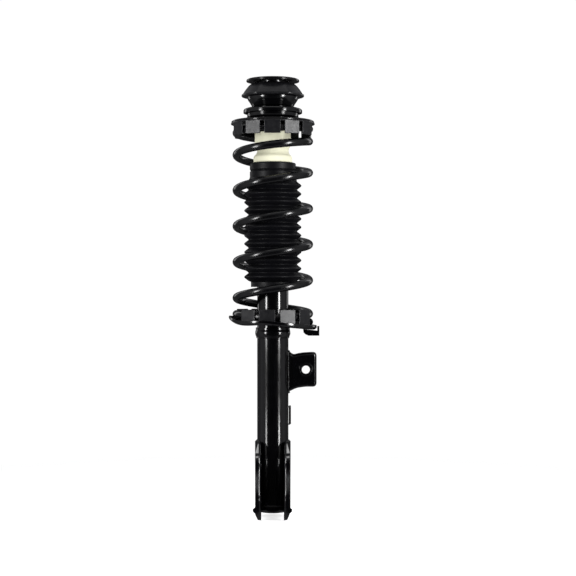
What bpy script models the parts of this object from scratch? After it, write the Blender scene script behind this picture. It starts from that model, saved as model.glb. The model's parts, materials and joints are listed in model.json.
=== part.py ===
"""Front suspension strut: damper, coil spring, top mount, knuckle clevis and brackets.

Metres, +Z up along the piston rod. The origin is on the rod's axis at the top mount's upper face, which
seats under the car body's tower sheet. The clevis opens towards -Y and the link bracket points to +X.
"""

import math

import bmesh
import bpy

# Clearance between pieces that touch, and the sheet thicknesses.
GAP = 0.0003
CLEVIS_SHEET = 0.0032
BRACKET_SHEET = 0.0035

# How many flats stand for a circle, on pieces that show and on pieces inside.
OUTER_SIDES = 30
INNER_SIDES = 18

# Damper.
TUBE_RADIUS = 0.025
TUBE_BORE = 0.0227
TUBE_TOP = -0.286
TUBE_BOTTOM = -0.6848
END_CAP_TOP = -0.6728
ROD_RADIUS = 0.011
ROD_STUB_RADIUS = 0.0069
ROD_TOP = 0.0101
ROD_SHOULDER = -0.0389
PISTON_SHOULDER = -0.345
PRESSURE_BORE = 0.016
PRESSURE_RADIUS = 0.0175

# Top mount. The dome is a hexagon in plan, with its corners rounded.
DOME_TOP_RADIUS = 0.0325
DOME_RADIUS = 0.050
DOME_FLATNESS = 0.91
DOME_HEIGHT = 0.0216
RECESS_RADIUS = 0.0225
RECESS_DEPTH = 0.013
SHELL_TOP_RADIUS = 0.041
SHELL_FOOT_RADIUS = 0.033
SHELL_FOOT = -0.0376
COVER_RADIUS = 0.047
COVER_FOOT = -0.048
SLEEVE_RADIUS = 0.0122
CAP_RADIUS = 0.04225
TOWER_SHEET = 0.0023

# Strut bearing.
BALL_COUNT = 12
BALL_RADIUS = 0.003
BALL_CIRCLE = 0.033
BALL_HEIGHT = -0.0486

# Coil spring: turns counted upwards from the lower end, which lies at +X.
WIRE_RADIUS = 0.0063
SPRING_RADIUS = 0.0582
SPRING_TURNS = 7.0
SPRING_PITCH = 0.0573
TOP_END_PITCH = 0.010
TOP_END_TURNS = 1.9
DEAD_TURNS = 0.4
FOOT_TURNS = 1.09
SPRING_FOOT = -0.3752
SPRING_STEPS = 16

# Spring seats and their isolators. The lower pan tilts down towards +X by PAN_SLOPE.
SEAT_RADIUS = 0.0662
PAN_RADIUS = 0.0704
PAN_SLOPE = 0.109
PAN_DIP = 0.0055
PAN_DIP_MIDDLE = -137
PAN_DIP_HALF = 43
PAN_DIP_START = 0.029
PAN_FLOOR = -0.3842
LUG_OUTER = 0.0678
LUG_INNER = 0.0652
LUG_WIDTH = 22.0
UPPER_LUG_FOOT = -0.0856
LOWER_LUG_TOP = -0.3610

# Bump stop and dust boot.
BUMP_BORE = 0.0116
BUMP_FOOT = -0.1272
BOOT_COLLAR = 0.0368
BOOT_CREST = 0.046
BOOT_ROOT = 0.0385
BOOT_FOLDS = 12
BOOT_PITCH = 0.01326
BOOT_FIRST_CREST = -0.1637
BOOT_FOOT = -0.3256

# Knuckle clevis: (y, z) of its side outline, and its bolts.
CLEVIS_TOP = -0.572
CLEVIS_FOOT = -0.682
FLANGE_MIDDLE = 0.0194
LIP_EDGE = 0.027
WING_EDGE = 0.0314
CLEVIS_FRONT = [
    (-0.030, -0.574),
    (-0.048, -0.594),
    (-0.050, -0.615),
    (-0.066, -0.650),
    (-0.066, -0.674),
    (-0.056, -0.689),
    (-0.044, -0.692),
]
CLEVIS_BOLTS = [(-0.036, -0.604), (-0.050, -0.660)]
CLEVIS_BOLT_RADIUS = 0.007

# Anti-roll bar link bracket, hose bracket and wire bracket.
LINK_FACE = -0.006
LINK_BACK = 0.014
LINK_HOLE = (0.0528, -0.4576)
LINK_HOLE_RADIUS = 0.0065
HOSE_TAB = (0.0255, 0.029)
HOSE_TOP = -0.5176
HOSE_FOOT = -0.5448
HOSE_HOLE = (0.026, -0.5312)
HOSE_HOLE_RADIUS = 0.0055


# ---------------------------------------------------------------- helpers


def clear_scene():
    for old in list(bpy.data.objects):
        bpy.data.objects.remove(old)


def make_material(name, colour, roughness, metallic=0.0):
    material = bpy.data.materials.new(name)
    material.use_nodes = True
    shader = material.node_tree.nodes["Principled BSDF"]
    shader.inputs["Base Color"].default_value = (*colour, 1.0)
    shader.inputs["Roughness"].default_value = roughness
    shader.inputs["Metallic"].default_value = metallic
    return material


def make_body(name):
    """An empty on the strut's axis, which every joint shares."""
    body = bpy.data.objects.new(name, None)
    bpy.context.scene.collection.objects.link(body)
    return body


def add_object(name, mesh, colour, body=None):
    """A named object from a bmesh, smooth across its shallow edges."""
    bmesh.ops.recalc_face_normals(mesh, faces=mesh.faces)
    data = bpy.data.meshes.new(name)
    mesh.to_mesh(data)
    mesh.free()
    data.shade_smooth()
    data.set_sharp_from_angle(angle=math.radians(35))
    data.materials.append(MATERIALS[colour])
    item = bpy.data.objects.new(name, data)
    bpy.context.scene.collection.objects.link(item)
    item.parent = body
    return item


def add_ring(mesh, radius, height, sides, shift):
    """One ring of a turned shape; on the axis it is a single point, listed once for each side."""
    if radius == 0:
        return [mesh.verts.new((0, 0, height))] * sides
    ring = []
    for side in range(sides):
        angle = math.tau * side / sides
        reach = radius(angle) if callable(radius) else radius
        x, y = reach * math.cos(angle), reach * math.sin(angle)
        ring.append(mesh.verts.new((x, y, height + (shift(x, y) if shift else 0))))
    return ring


def turned(name, outline, colour, body, sides=INNER_SIDES, shift=None):
    """A closed (radius, height) outline turned about the axis. A radius may be a function of the angle."""
    mesh = bmesh.new()
    rings = [add_ring(mesh, radius, height, sides, shift) for radius, height in outline]
    for index, ring in enumerate(rings):
        following = rings[(index + 1) % len(rings)]
        if outline[index][0] == 0 and outline[(index + 1) % len(outline)][0] == 0:
            continue
        for side in range(sides):
            after = (side + 1) % sides
            corners = (ring[side], ring[after], following[after], following[side])
            mesh.faces.new(dict.fromkeys(corners))
    return add_object(name, mesh, colour, body)


def washer(name, bore, radius, top, foot, colour, body, sides=INNER_SIDES):
    """A plain ring or tube."""
    outline = [(bore, top), (radius, top), (radius, foot), (bore, foot)]
    return turned(name, outline, colour, body, sides)


def cell_faces(index, count):
    """The six sides of one grid cell, as (step to the neighbour, the side's four corners)."""
    a, r, h = index
    b = (a + 1) % count
    return [
        ((-1, 0, 0), [(a, r, h), (a, r + 1, h), (a, r + 1, h + 1), (a, r, h + 1)]),
        ((1, 0, 0), [(b, r, h), (b, r + 1, h), (b, r + 1, h + 1), (b, r, h + 1)]),
        ((0, -1, 0), [(a, r, h), (b, r, h), (b, r, h + 1), (a, r, h + 1)]),
        ((0, 1, 0), [(a, r + 1, h), (b, r + 1, h), (b, r + 1, h + 1), (a, r + 1, h + 1)]),
        ((0, 0, -1), [(a, r, h), (b, r, h), (b, r + 1, h), (a, r + 1, h)]),
        ((0, 0, 1), [(a, r, h + 1), (b, r, h + 1), (b, r + 1, h + 1), (a, r + 1, h + 1)]),
    ]


def ring_of_cells(name, angles, radii, heights, filled, colour, body, shift=None):
    """A ring on a grid of angles (degrees), radii and heights, where filled(a, r, h) cells are solid."""
    mesh = bmesh.new()
    corners = {}

    def corner(key):
        if key not in corners:
            angle, radius, height = math.radians(angles[key[0]]), radii[key[1]], heights[key[2]]
            x, y = radius * math.cos(angle), radius * math.sin(angle)
            drop = shift(x, y, height) if shift else 0
            corners[key] = mesh.verts.new((x, y, height + drop))
        return corners[key]

    count = len(angles)
    cells = {
        (a, r, h)
        for a in range(count)
        for r in range(len(radii) - 1)
        for h in range(len(heights) - 1)
        if filled(a, r, h)
    }
    for cell in sorted(cells):
        for step, keys in cell_faces(cell, count):
            beside = ((cell[0] + step[0]) % count, cell[1] + step[1], cell[2] + step[2])
            if beside not in cells:
                mesh.faces.new([corner(key) for key in keys])
    return add_object(name, mesh, colour, body)


def prism(name, outline, plane, low, high, colour, body=None):
    """A flat outline in the XY, XZ or YZ plane, pushed from low to high along the third axis."""
    place = {
        "XY": lambda u, v, w: (u, v, w),
        "XZ": lambda u, v, w: (u, w, v),
        "YZ": lambda u, v, w: (w, u, v),
    }[plane]
    mesh = bmesh.new()
    ends = [[mesh.verts.new(place(u, v, w)) for u, v in outline] for w in (low, high)]
    mesh.faces.new(ends[0])
    mesh.faces.new(reversed(ends[1]))
    for index in range(len(outline)):
        after = (index + 1) % len(outline)
        mesh.faces.new((ends[0][index], ends[0][after], ends[1][after], ends[1][index]))
    return add_object(name, mesh, colour, body)


def circle(centre, radius, sides=24):
    return [
        (
            centre[0] + radius * math.cos(math.tau * side / sides),
            centre[1] + radius * math.sin(math.tau * side / sides),
        )
        for side in range(sides)
    ]


def rounded(points, radius, steps=3):
    """The outline with each corner replaced by a short arc, as far as its edges allow."""
    result = []
    for index, here in enumerate(points):
        before, after = points[index - 1], points[(index + 1) % len(points)]
        back, ahead = math.dist(here, before), math.dist(here, after)
        cut = min(radius, 0.45 * back, 0.45 * ahead)
        start = [here[i] + (before[i] - here[i]) * cut / back for i in (0, 1)]
        end = [here[i] + (after[i] - here[i]) * cut / ahead for i in (0, 1)]
        for step in range(steps + 1):
            t = step / steps
            weights = ((1 - t) ** 2, 2 * t * (1 - t), t**2)
            result.append(
                tuple(
                    weights[0] * start[i] + weights[1] * here[i] + weights[2] * end[i]
                    for i in (0, 1)
                )
            )
    return result


def strip(path, thickness):
    """The closed outline of a bent sheet, whose middle line is the open path."""
    sides = ([], [])
    for index, point in enumerate(path):
        before, after = path[max(index - 1, 0)], path[min(index + 1, len(path) - 1)]
        first = (point[0] - before[0], point[1] - before[1])
        second = (after[0] - point[0], after[1] - point[1])
        normals = [(-v / math.hypot(u, v), u / math.hypot(u, v)) for u, v in (first, second) if u or v]
        mean = [sum(n[i] for n in normals) / len(normals) for i in (0, 1)]
        reach = thickness / 2 / (mean[0] ** 2 + mean[1] ** 2)
        for side, sign in zip(sides, (1, -1)):
            side.append((point[0] + sign * reach * mean[0], point[1] + sign * reach * mean[1]))
    return sides[0] + sides[1][::-1]


def combine(target, tool, operation):
    """A Boolean whose tool stays in the scene as a hidden helper."""
    tool.hide_render = True
    tool.display_type = "WIRE"
    modifier = target.modifiers.new(tool.name, "BOOLEAN")
    modifier.operation = operation
    modifier.object = tool
    return target


# ---------------------------------------------------------------- top mount


def hex_flats(inradius):
    """A hexagon's radius as a function of the angle, with a corner at +X."""
    return lambda angle: inradius / math.cos(angle % (math.pi / 3) - math.pi / 6)


def hexagon(radius):
    """A hexagon in plan with its corners at +X and -X rounded off at `radius`."""
    sharp = hex_flats(radius * DOME_FLATNESS)
    return lambda angle: min(sharp(angle), radius)


def make_mount(body):
    core = SHELL_FOOT_RADIUS - 0.0042
    dome = [
        (SLEEVE_RADIUS + GAP, -RECESS_DEPTH),
        (RECESS_RADIUS - 0.001, -RECESS_DEPTH),
        (RECESS_RADIUS, 0),
        (hexagon(DOME_TOP_RADIUS), 0),
        (hexagon(DOME_TOP_RADIUS + 0.0018), -0.0016),
        (hexagon(DOME_RADIUS), -DOME_HEIGHT + 0.002),
        (hexagon(DOME_RADIUS - 0.0006), -DOME_HEIGHT),
        (SHELL_TOP_RADIUS - 0.0034, -DOME_HEIGHT),
        (core, -0.0335),
        (SLEEVE_RADIUS + GAP, -0.0335),
    ]
    turned("mount_rubber", dome, "rubber", body, OUTER_SIDES)
    shell = [
        (SHELL_TOP_RADIUS - 0.0028, -DOME_HEIGHT - GAP),
        (SHELL_TOP_RADIUS, -DOME_HEIGHT - GAP),
        (SHELL_TOP_RADIUS - 0.0008, -0.0265),
        (SHELL_FOOT_RADIUS + 0.0022, -0.0335),
        (SHELL_FOOT_RADIUS, SHELL_FOOT),
        (0.020, SHELL_FOOT),
        (0.020, -0.0345),
        (core + 0.0014, -0.0345),
    ]
    turned("mount_shell", shell, "gloss_black", body, OUTER_SIDES)
    washer("mount_inner_sleeve", 0.0073, SLEEVE_RADIUS, -RECESS_DEPTH, -0.036, "zinc", body)
    washer("mount_washer", 0.0073, 0.016, -0.0363, -0.0386, "zinc", body)
    cover = [
        (0.0235, SHELL_FOOT - GAP),
        (SHELL_FOOT_RADIUS, SHELL_FOOT - GAP),
        (COVER_RADIUS - 0.0012, -0.0412),
        (COVER_RADIUS, -0.0424),
        (COVER_RADIUS, COVER_FOOT),
        (COVER_RADIUS - 0.0025, COVER_FOOT),
        (COVER_RADIUS - 0.0025, -0.0445),
        (0.041, -0.0425),
        (0.0235, -0.0425),
    ]
    turned("bearing_cover", cover, "gloss_black", body, OUTER_SIDES)


def make_tower_hardware(cap_body, nut_body):
    """Nut and cap on the rod. The cap's cup drops into the dome's recess, with room for the tower sheet."""
    disc = TOWER_SHEET + 0.0030
    cup_floor = -RECESS_DEPTH + GAP
    cap = [
        (0.0077, cup_floor + 0.002),
        (0.0182, cup_floor + 0.002),
        (0.0192, disc + 0.0008),
        (0.0215, disc + 0.0018),
        (CAP_RADIUS - 0.0012, disc + 0.0018),
        (CAP_RADIUS, disc + 0.0006),
        (CAP_RADIUS, TOWER_SHEET + 0.0002),
        (CAP_RADIUS - 0.0016, TOWER_SHEET + 0.0002),
        (CAP_RADIUS - 0.0016, disc),
        (0.0215, disc),
        (0.0202, cup_floor),
        (0.0077, cup_floor),
    ]
    turned("tower_cap", cap, "satin_black", cap_body, OUTER_SIDES)
    washer("cap_rubber", 0.0290, CAP_RADIUS - 0.0019, disc - GAP, TOWER_SHEET, "rubber", cap_body, OUTER_SIDES)
    flange = cup_floor + 0.002 + GAP
    nut = [
        (0.0071, flange),
        (0.0150, flange),
        (0.0150, flange + 0.0014),
        (0.0128, flange + 0.0030),
        (hex_flats(0.0105), flange + 0.0031),
        (hex_flats(0.0105), flange + 0.0112),
        (0.0102, flange + 0.0120),
        (0.0071, flange + 0.0120),
    ]
    turned("tower_nut", nut, "zinc", nut_body, 24)


def make_bearing(mount, seat, cage_body):
    top, foot = BALL_HEIGHT + BALL_RADIUS + GAP, BALL_HEIGHT - BALL_RADIUS - GAP
    groove = 0.0042
    upper = [
        (0.0275, top + 0.0023),
        (0.0385, top + 0.0023),
        (0.0385, top - 0.0008),
        (BALL_CIRCLE + groove, top - 0.0008),
        (BALL_CIRCLE + 0.002, top),
        (BALL_CIRCLE - 0.002, top),
        (BALL_CIRCLE - groove, top - 0.0008),
        (0.0275, top - 0.0008),
    ]
    turned("bearing_upper_race", upper, "steel", mount)
    lower = [
        (0.0275, foot + 0.0008),
        (BALL_CIRCLE - groove, foot + 0.0008),
        (BALL_CIRCLE - 0.002, foot),
        (BALL_CIRCLE + 0.002, foot),
        (BALL_CIRCLE + groove, foot + 0.0008),
        (0.0380, foot + 0.0008),
        (0.0380, foot - 0.0010),
        (0.0275, foot - 0.0010),
    ]
    turned("bearing_lower_race", lower, "steel", seat)
    make_cage(cage_body)
    for index in range(BALL_COUNT):
        angle = math.tau * (index + 0.5) / BALL_COUNT
        mesh = bmesh.new()
        bmesh.ops.create_icosphere(mesh, subdivisions=2, radius=BALL_RADIUS)
        place = (BALL_CIRCLE * math.cos(angle), BALL_CIRCLE * math.sin(angle), BALL_HEIGHT)
        bmesh.ops.translate(mesh, verts=mesh.verts, vec=place)
        add_object(f"bearing_ball_{index + 1}", mesh, "steel", cage_body)


def make_cage(body):
    """A flat ring with an open pocket round each ball."""
    pocket = math.degrees((BALL_RADIUS + GAP) / BALL_CIRCLE) + 0.6
    step = 360 / BALL_COUNT
    angles = []
    for index in range(BALL_COUNT):
        middle = step * (index + 0.5)
        angles += [middle - pocket, middle + pocket]
    clear = BALL_RADIUS + 2 * GAP
    radii = [BALL_CIRCLE - 0.0048, BALL_CIRCLE - clear, BALL_CIRCLE + clear, BALL_CIRCLE + 0.0046]
    heights = [BALL_HEIGHT - 0.0011, BALL_HEIGHT + 0.0011]
    ring_of_cells(
        "bearing_cage",
        angles,
        radii,
        heights,
        lambda a, r, h: r != 1 or a % 2 == 1,
        "nylon",
        body,
    )


# ---------------------------------------------------------------- spring and its seats


def eased(share):
    """0 below 0, 1 above 1, smooth between."""
    share = min(max(share, 0.0), 1.0)
    return share * share * (3 - 2 * share)


def eased_sum(share):
    """The running integral of eased()."""
    if share <= 0:
        return 0.0
    if share >= 1:
        return share - 0.5
    return share**3 - share**4 / 2


def spring_point(turn):
    """The wire's middle line. Its foot lies on the tilted pan, then it lifts into turns, closer at the top."""
    angle = math.tau * turn
    rise = SPRING_PITCH * FOOT_TURNS * eased_sum((turn - DEAD_TURNS) / FOOT_TURNS)
    closing = eased_sum((turn - SPRING_TURNS + TOP_END_TURNS) / TOP_END_TURNS)
    rise -= (SPRING_PITCH - TOP_END_PITCH) * TOP_END_TURNS * closing
    tilt = PAN_SLOPE * SPRING_RADIUS * (1 - eased((turn - 0.5) / 0.6))
    x, y = SPRING_RADIUS * math.cos(angle), SPRING_RADIUS * math.sin(angle)
    return x, y, SPRING_FOOT + rise - tilt * math.cos(angle)


def make_spring(body):
    curve = bpy.data.curves.new("coil_spring", "CURVE")
    curve.dimensions = "3D"
    curve.bevel_depth = WIRE_RADIUS
    curve.bevel_resolution = 2
    curve.use_fill_caps = True
    count = round(SPRING_TURNS * SPRING_STEPS)
    spline = curve.splines.new("POLY")
    spline.points.add(count)
    for index, point in enumerate(spline.points):
        point.co = (*spring_point(SPRING_TURNS * index / count), 1)
    curve.materials.append(MATERIALS["satin_black"])
    item = bpy.data.objects.new("coil_spring", curve)
    bpy.context.scene.collection.objects.link(item)
    item.parent = body


def lug_angles(middles):
    """Grid angles for two opposite groups of lugs, and the cells that are lugs."""
    edges = []
    for turn in (0, 180):
        for middle in middles:
            edges += [(turn + middle + shift * LUG_WIDTH / 2, shift < 1) for shift in (-1, 0, 1)]
    edges.sort(key=lambda edge: edge[0] % 360)
    angles, lugs = [], []
    for index, (angle, is_lug) in enumerate(edges):
        following = edges[(index + 1) % len(edges)][0]
        span = (following - angle) % 360
        parts = max(1, math.ceil(span / 12))
        for part in range(parts):
            angles.append(angle + span * part / parts)
            lugs.append(is_lug)
    return angles, lugs


def make_upper_seat(body):
    pan = [
        (0.0388, -0.0465),
        (0.0410, -0.0465),
        (0.0410, -0.0542),
        (0.0445, -0.0582),
        (0.0600, -0.0598),
        (SEAT_RADIUS - 0.0014, -0.0604),
        (SEAT_RADIUS, -0.0616),
        (SEAT_RADIUS, -0.0630),
        (0.0475, -0.0630),
        (0.0415, -0.0573),
        (0.0380, -0.0558),
        (0.0200, -0.0558),
        (0.0200, -0.0533),
        (0.0388, -0.0533),
    ]
    turned("upper_spring_seat", pan, "gloss_black", body, OUTER_SIDES)
    angles, lugs = lug_angles([-90 + 27.7 * step for step in (-2, -1, 0, 1, 2)])
    ring_of_cells(
        "upper_isolator",
        angles,
        [0.0465, 0.0502, LUG_INNER, LUG_OUTER],
        [UPPER_LUG_FOOT, -0.0740, -0.0665, -0.0633],
        lambda a, r, h: h == 2 or (r == 0 and h == 1) or (r == 2 and lugs[a]),
        "rubber",
        body,
    )


def pan_tilt(x, y):
    """The pan slopes down towards +X, and hangs lower at its front left, the more so nearer to its rim."""
    across = (math.degrees(math.atan2(y, x)) - PAN_DIP_MIDDLE + 180) % 360 - 180
    share = math.cos(math.pi / 2 * min(abs(across) / PAN_DIP_HALF, 1.0)) ** 2
    outward = max(0.0, (math.hypot(x, y) - PAN_DIP_START) / (PAN_RADIUS - PAN_DIP_START))
    return -PAN_SLOPE * x - PAN_DIP * share * outward


def make_lower_seat(body):
    floor, sheet = PAN_FLOOR, 0.0023
    pan = [
        (TUBE_RADIUS + GAP, floor + 0.0060),
        (0.0278, floor + 0.0060),
        (0.0290, floor),
        (PAN_RADIUS - 0.0020, floor),
        (PAN_RADIUS - 0.0018, floor + 0.0050),
        (PAN_RADIUS, floor + 0.0050),
        (PAN_RADIUS, floor + 0.0004),
        (PAN_RADIUS - 0.0040, floor - sheet),
        (TUBE_RADIUS + GAP, floor - sheet),
    ]
    turned("lower_spring_seat", pan, "gloss_black", body, OUTER_SIDES, pan_tilt)
    heights = [floor + GAP, floor + 0.0018, floor + 0.0095, LOWER_LUG_TOP]

    def shift(x, y, height):
        """The isolator's floor follows the pan, and its lugs' tops stay level."""
        share = (heights[3] - height) / (heights[3] - heights[1])
        return pan_tilt(x, y) * min(share, 1.0)

    angles, lugs = lug_angles([-83 + 28.5 * step for step in (-1.5, -0.5, 0.5, 1.5)])
    ring_of_cells(
        "lower_isolator",
        angles,
        [0.0465, 0.0502, LUG_INNER, LUG_OUTER],
        heights,
        lambda a, r, h: h == 0 or (r == 0 and h == 1) or (r == 2 and lugs[a]),
        "rubber",
        body,
        shift,
    )
    collar = [
        (TUBE_RADIUS + GAP, -0.3903),
        (0.0274, -0.3903),
        (0.0274, -0.3940),
        (0.0282, -0.3970),
        (0.0282, -0.4010),
        (0.0268, -0.4050),
        (0.0260, -0.4072),
        (TUBE_RADIUS + GAP, -0.4072),
    ]
    turned("seat_collar", collar, "gloss_black", body, OUTER_SIDES)


def make_bump_stop(body):
    """Foam, snapped into the upper seat's floor by its neck."""
    stop = [
        (BUMP_BORE, -0.0500),
        (0.0190, -0.0500),
        (0.0210, -0.0512),
        (0.0210, -0.0529),
        (0.0196, -0.0529),
        (0.0196, -0.0562),
        (0.0270, -0.0562),
        (0.0290, -0.0640),
        (0.0290, -0.0990),
        (0.0258, -0.1050),
        (0.0250, -0.1088),
        (0.0262, -0.1130),
        (0.0310, -0.1180),
        (0.0310, BUMP_FOOT + 0.0015),
        (0.0300, BUMP_FOOT),
        (BUMP_BORE, BUMP_FOOT),
    ]
    turned("bump_stop", stop, "foam", body)


def make_boot(body):
    boot = [
        (0.0240, BUMP_FOOT - 0.0004),
        (BOOT_COLLAR - 0.0014, BUMP_FOOT - 0.0004),
        (BOOT_COLLAR, BUMP_FOOT - 0.0018),
        (BOOT_COLLAR, -0.1384),
        (BOOT_COLLAR - 0.0014, -0.1400),
        (BOOT_COLLAR, -0.1416),
        (BOOT_COLLAR, -0.1512),
        (BOOT_ROOT, BOOT_FIRST_CREST + BOOT_PITCH / 2),
    ]
    for fold in range(BOOT_FOLDS):
        crest = BOOT_FIRST_CREST - BOOT_PITCH * fold
        boot += [(BOOT_CREST, crest), (BOOT_ROOT, crest - BOOT_PITCH / 2)]
    boot += [
        (0.0350, BOOT_FOOT + 0.0082),
        (0.0350, BOOT_FOOT),
        (0.0330, BOOT_FOOT),
        (0.0330, BOOT_FOOT + 0.0116),
        (BOOT_ROOT - 0.0014, BOOT_FOOT + 0.0130),
        (BOOT_ROOT - 0.0014, -0.1575),
        (BOOT_COLLAR - 0.0030, -0.1535),
        (BOOT_COLLAR - 0.0030, BUMP_FOOT - 0.0028),
        (0.0240, BUMP_FOOT - 0.0028),
    ]
    turned("dust_boot", boot, "boot_rubber", body)


# ---------------------------------------------------------------- damper


def make_rod(body, disc_body):
    rod = [
        (0, ROD_TOP),
        (ROD_STUB_RADIUS - 0.001, ROD_TOP),
        (ROD_STUB_RADIUS, ROD_TOP - 0.001),
        (ROD_STUB_RADIUS, ROD_SHOULDER),
        (ROD_RADIUS, ROD_SHOULDER),
        (ROD_RADIUS, PISTON_SHOULDER),
        (0.0060, PISTON_SHOULDER),
        (0.0060, -0.3880),
        (0, -0.3880),
    ]
    turned("piston_rod", rod, "chrome", body)
    washer("rebound_stop", ROD_RADIUS + 0.0004, 0.0150, -0.3186, -0.3310, "rubber", body)
    washer("rebound_stop_ring", ROD_RADIUS + 0.0004, 0.0142, -0.3313, -0.3340, "steel", body)
    washer("check_stop_washer", 0.0063, 0.0115, PISTON_SHOULDER - GAP, -0.3473, "steel", body)
    washer("piston_check_disc", 0.0063, 0.0125, -0.3493, -0.3505, "steel", disc_body)
    piston = [
        (0.0063, -0.3508),
        (0.0153, -0.3508),
        (0.0153, -0.3550),
        (0.0139, -0.3550),
        (0.0139, -0.3680),
        (0.0153, -0.3680),
        (0.0153, -0.3720),
        (0.0063, -0.3720),
    ]
    turned("piston", piston, "iron", body)
    washer("piston_band", 0.0142, 0.0156, -0.3553, -0.3677, "ptfe", body)
    washer("rebound_valve_disc", 0.0063, 0.0125, -0.3723, -0.3745, "steel", body)
    washer("piston_nut", 0.0063, hex_flats(0.0085), -0.3748, -0.3850, "steel", body, 24)


def make_tubes(body, disc_body):
    washer("reserve_tube", TUBE_BORE, TUBE_RADIUS, TUBE_TOP, END_CAP_TOP, "gloss_black", body, OUTER_SIDES)
    cap = [
        (0, TUBE_BOTTOM),
        (0.0200, TUBE_BOTTOM),
        (0.0236, TUBE_BOTTOM + 0.0012),
        (TUBE_RADIUS, TUBE_BOTTOM + 0.0045),
        (TUBE_RADIUS, END_CAP_TOP - GAP),
        (TUBE_BORE, END_CAP_TOP - GAP),
        (TUBE_BORE, TUBE_BOTTOM + 0.0040),
        (0.0210, TUBE_BOTTOM + 0.0028),
        (0, TUBE_BOTTOM + 0.0028),
    ]
    turned("tube_end_cap", cap, "gloss_black", body, OUTER_SIDES)
    washer("pressure_tube", PRESSURE_BORE, PRESSURE_RADIUS, -0.3103, -0.6680, "steel", body, 28)
    valve = [
        (0.0043, -0.6600),
        (0.0157, -0.6600),
        (0.0157, -0.6683),
        (0.0190, -0.6683),
        (0.0208, -0.6760),
        (0.0208, -0.6816),
        (0.0185, -0.6816),
        (0.0185, -0.6765),
        (0.0043, -0.6765),
    ]
    turned("base_valve_body", valve, "iron", body)
    bolt = [
        (0, -0.6510),
        (0.0080, -0.6510),
        (0.0080, -0.6555),
        (0.0040, -0.6555),
        (0.0040, -0.6768),
        (0.0080, -0.6768),
        (0.0080, -0.6798),
        (0, -0.6798),
    ]
    turned("base_valve_bolt", bolt, "steel", body)
    washer("base_check_disc", 0.0044, 0.0130, -0.6582, -0.6597, "steel", disc_body)


def make_tube_top(body):
    guide = [
        (0.0123, -0.2900),
        (0.0224, -0.2900),
        (0.0224, -0.3100),
        (0.0157, -0.3100),
        (0.0157, -0.3180),
        (0.0123, -0.3180),
    ]
    turned("rod_guide", guide, "iron", body)
    washer("rod_guide_bush", ROD_RADIUS + GAP, 0.0120, -0.2920, -0.3170, "ptfe", body)
    washer("rod_seal", ROD_RADIUS + GAP, 0.0222, -0.2863, -0.2897, "rubber", body)
    cap = [
        (0.0118, -0.2840),
        (0.0245, -0.2840),
        (0.0268, -0.2860),
        (0.0268, -0.3000),
        (TUBE_RADIUS + GAP, -0.3000),
        (TUBE_RADIUS + GAP, TUBE_TOP + GAP),
        (0.0118, TUBE_TOP + GAP),
    ]
    turned("striker_cap", cap, "steel", body, OUTER_SIDES)


# ---------------------------------------------------------------- brackets


def clevis_sheet():
    """The sheet's plan section: round the back of the tube, then two straight flanges towards -Y."""
    middle = TUBE_RADIUS + GAP + CLEVIS_SHEET / 2
    start = math.degrees(math.acos(FLANGE_MIDDLE / middle))
    steps = 27
    front = min(y for y, _ in CLEVIS_FRONT) - 0.001
    path = [(FLANGE_MIDDLE, front)]
    for step in range(steps + 1):
        angle = math.radians(-start + (180 + 2 * start) * step / steps)
        path.append((middle * math.cos(angle), middle * math.sin(angle)))
    path.append((-FLANGE_MIDDLE, front))
    return strip(path, CLEVIS_SHEET)


def clevis_lip(side):
    """The outward lip along one flange's front edge, with a small wing above its foot."""
    edge = [(y + CLEVIS_SHEET / 2, z) for y, z in CLEVIS_FRONT[:-1]]
    name = "right" if side > 0 else "left"
    inner = FLANGE_MIDDLE - CLEVIS_SHEET / 2 + 0.0004
    front = [
        (inner, -0.568),
        (LIP_EDGE - 0.001, -0.574),
        (LIP_EDGE, -0.578),
        (LIP_EDGE, -0.6675),
        (WING_EDGE, -0.6715),
        (WING_EDGE, -0.6755),
        (LIP_EDGE - 0.001, -0.6805),
        (FLANGE_MIDDLE + 0.0022, -0.694),
        (inner, -0.694),
    ]
    outline = [(side * x, z) for x, z in front]
    lip = prism(f"lip_{name}", strip(edge, CLEVIS_SHEET), "YZ", side * inner, side * 0.034, "gloss_black")
    shape = prism(f"lip_shape_{name}", outline, "XZ", -0.08, 0, "gloss_black")
    return combine(lip, shape, "INTERSECT")


def make_clevis(body):
    back = TUBE_RADIUS + 0.008
    side_outline = [(back, CLEVIS_FOOT), (back, CLEVIS_TOP), (-0.020, CLEVIS_TOP)]
    side_outline += CLEVIS_FRONT + [(-0.034, -0.690), (-0.028, CLEVIS_FOOT)]
    clevis = prism(
        "clevis_bracket", clevis_sheet(), "XY", CLEVIS_TOP - 0.13, CLEVIS_TOP + 0.01, "gloss_black", body
    )
    profile = prism("clevis_profile", side_outline, "YZ", -0.04, 0.04, "gloss_black")
    combine(clevis, profile, "INTERSECT")
    for side in (1, -1):
        combine(clevis, clevis_lip(side), "UNION")
    for index, centre in enumerate(CLEVIS_BOLTS):
        bolt = circle(centre, CLEVIS_BOLT_RADIUS)
        cutter = prism(f"clevis_bolt_{index + 1}", bolt, "YZ", -0.05, 0.05, "gloss_black")
        combine(clevis, cutter, "DIFFERENCE")


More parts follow.
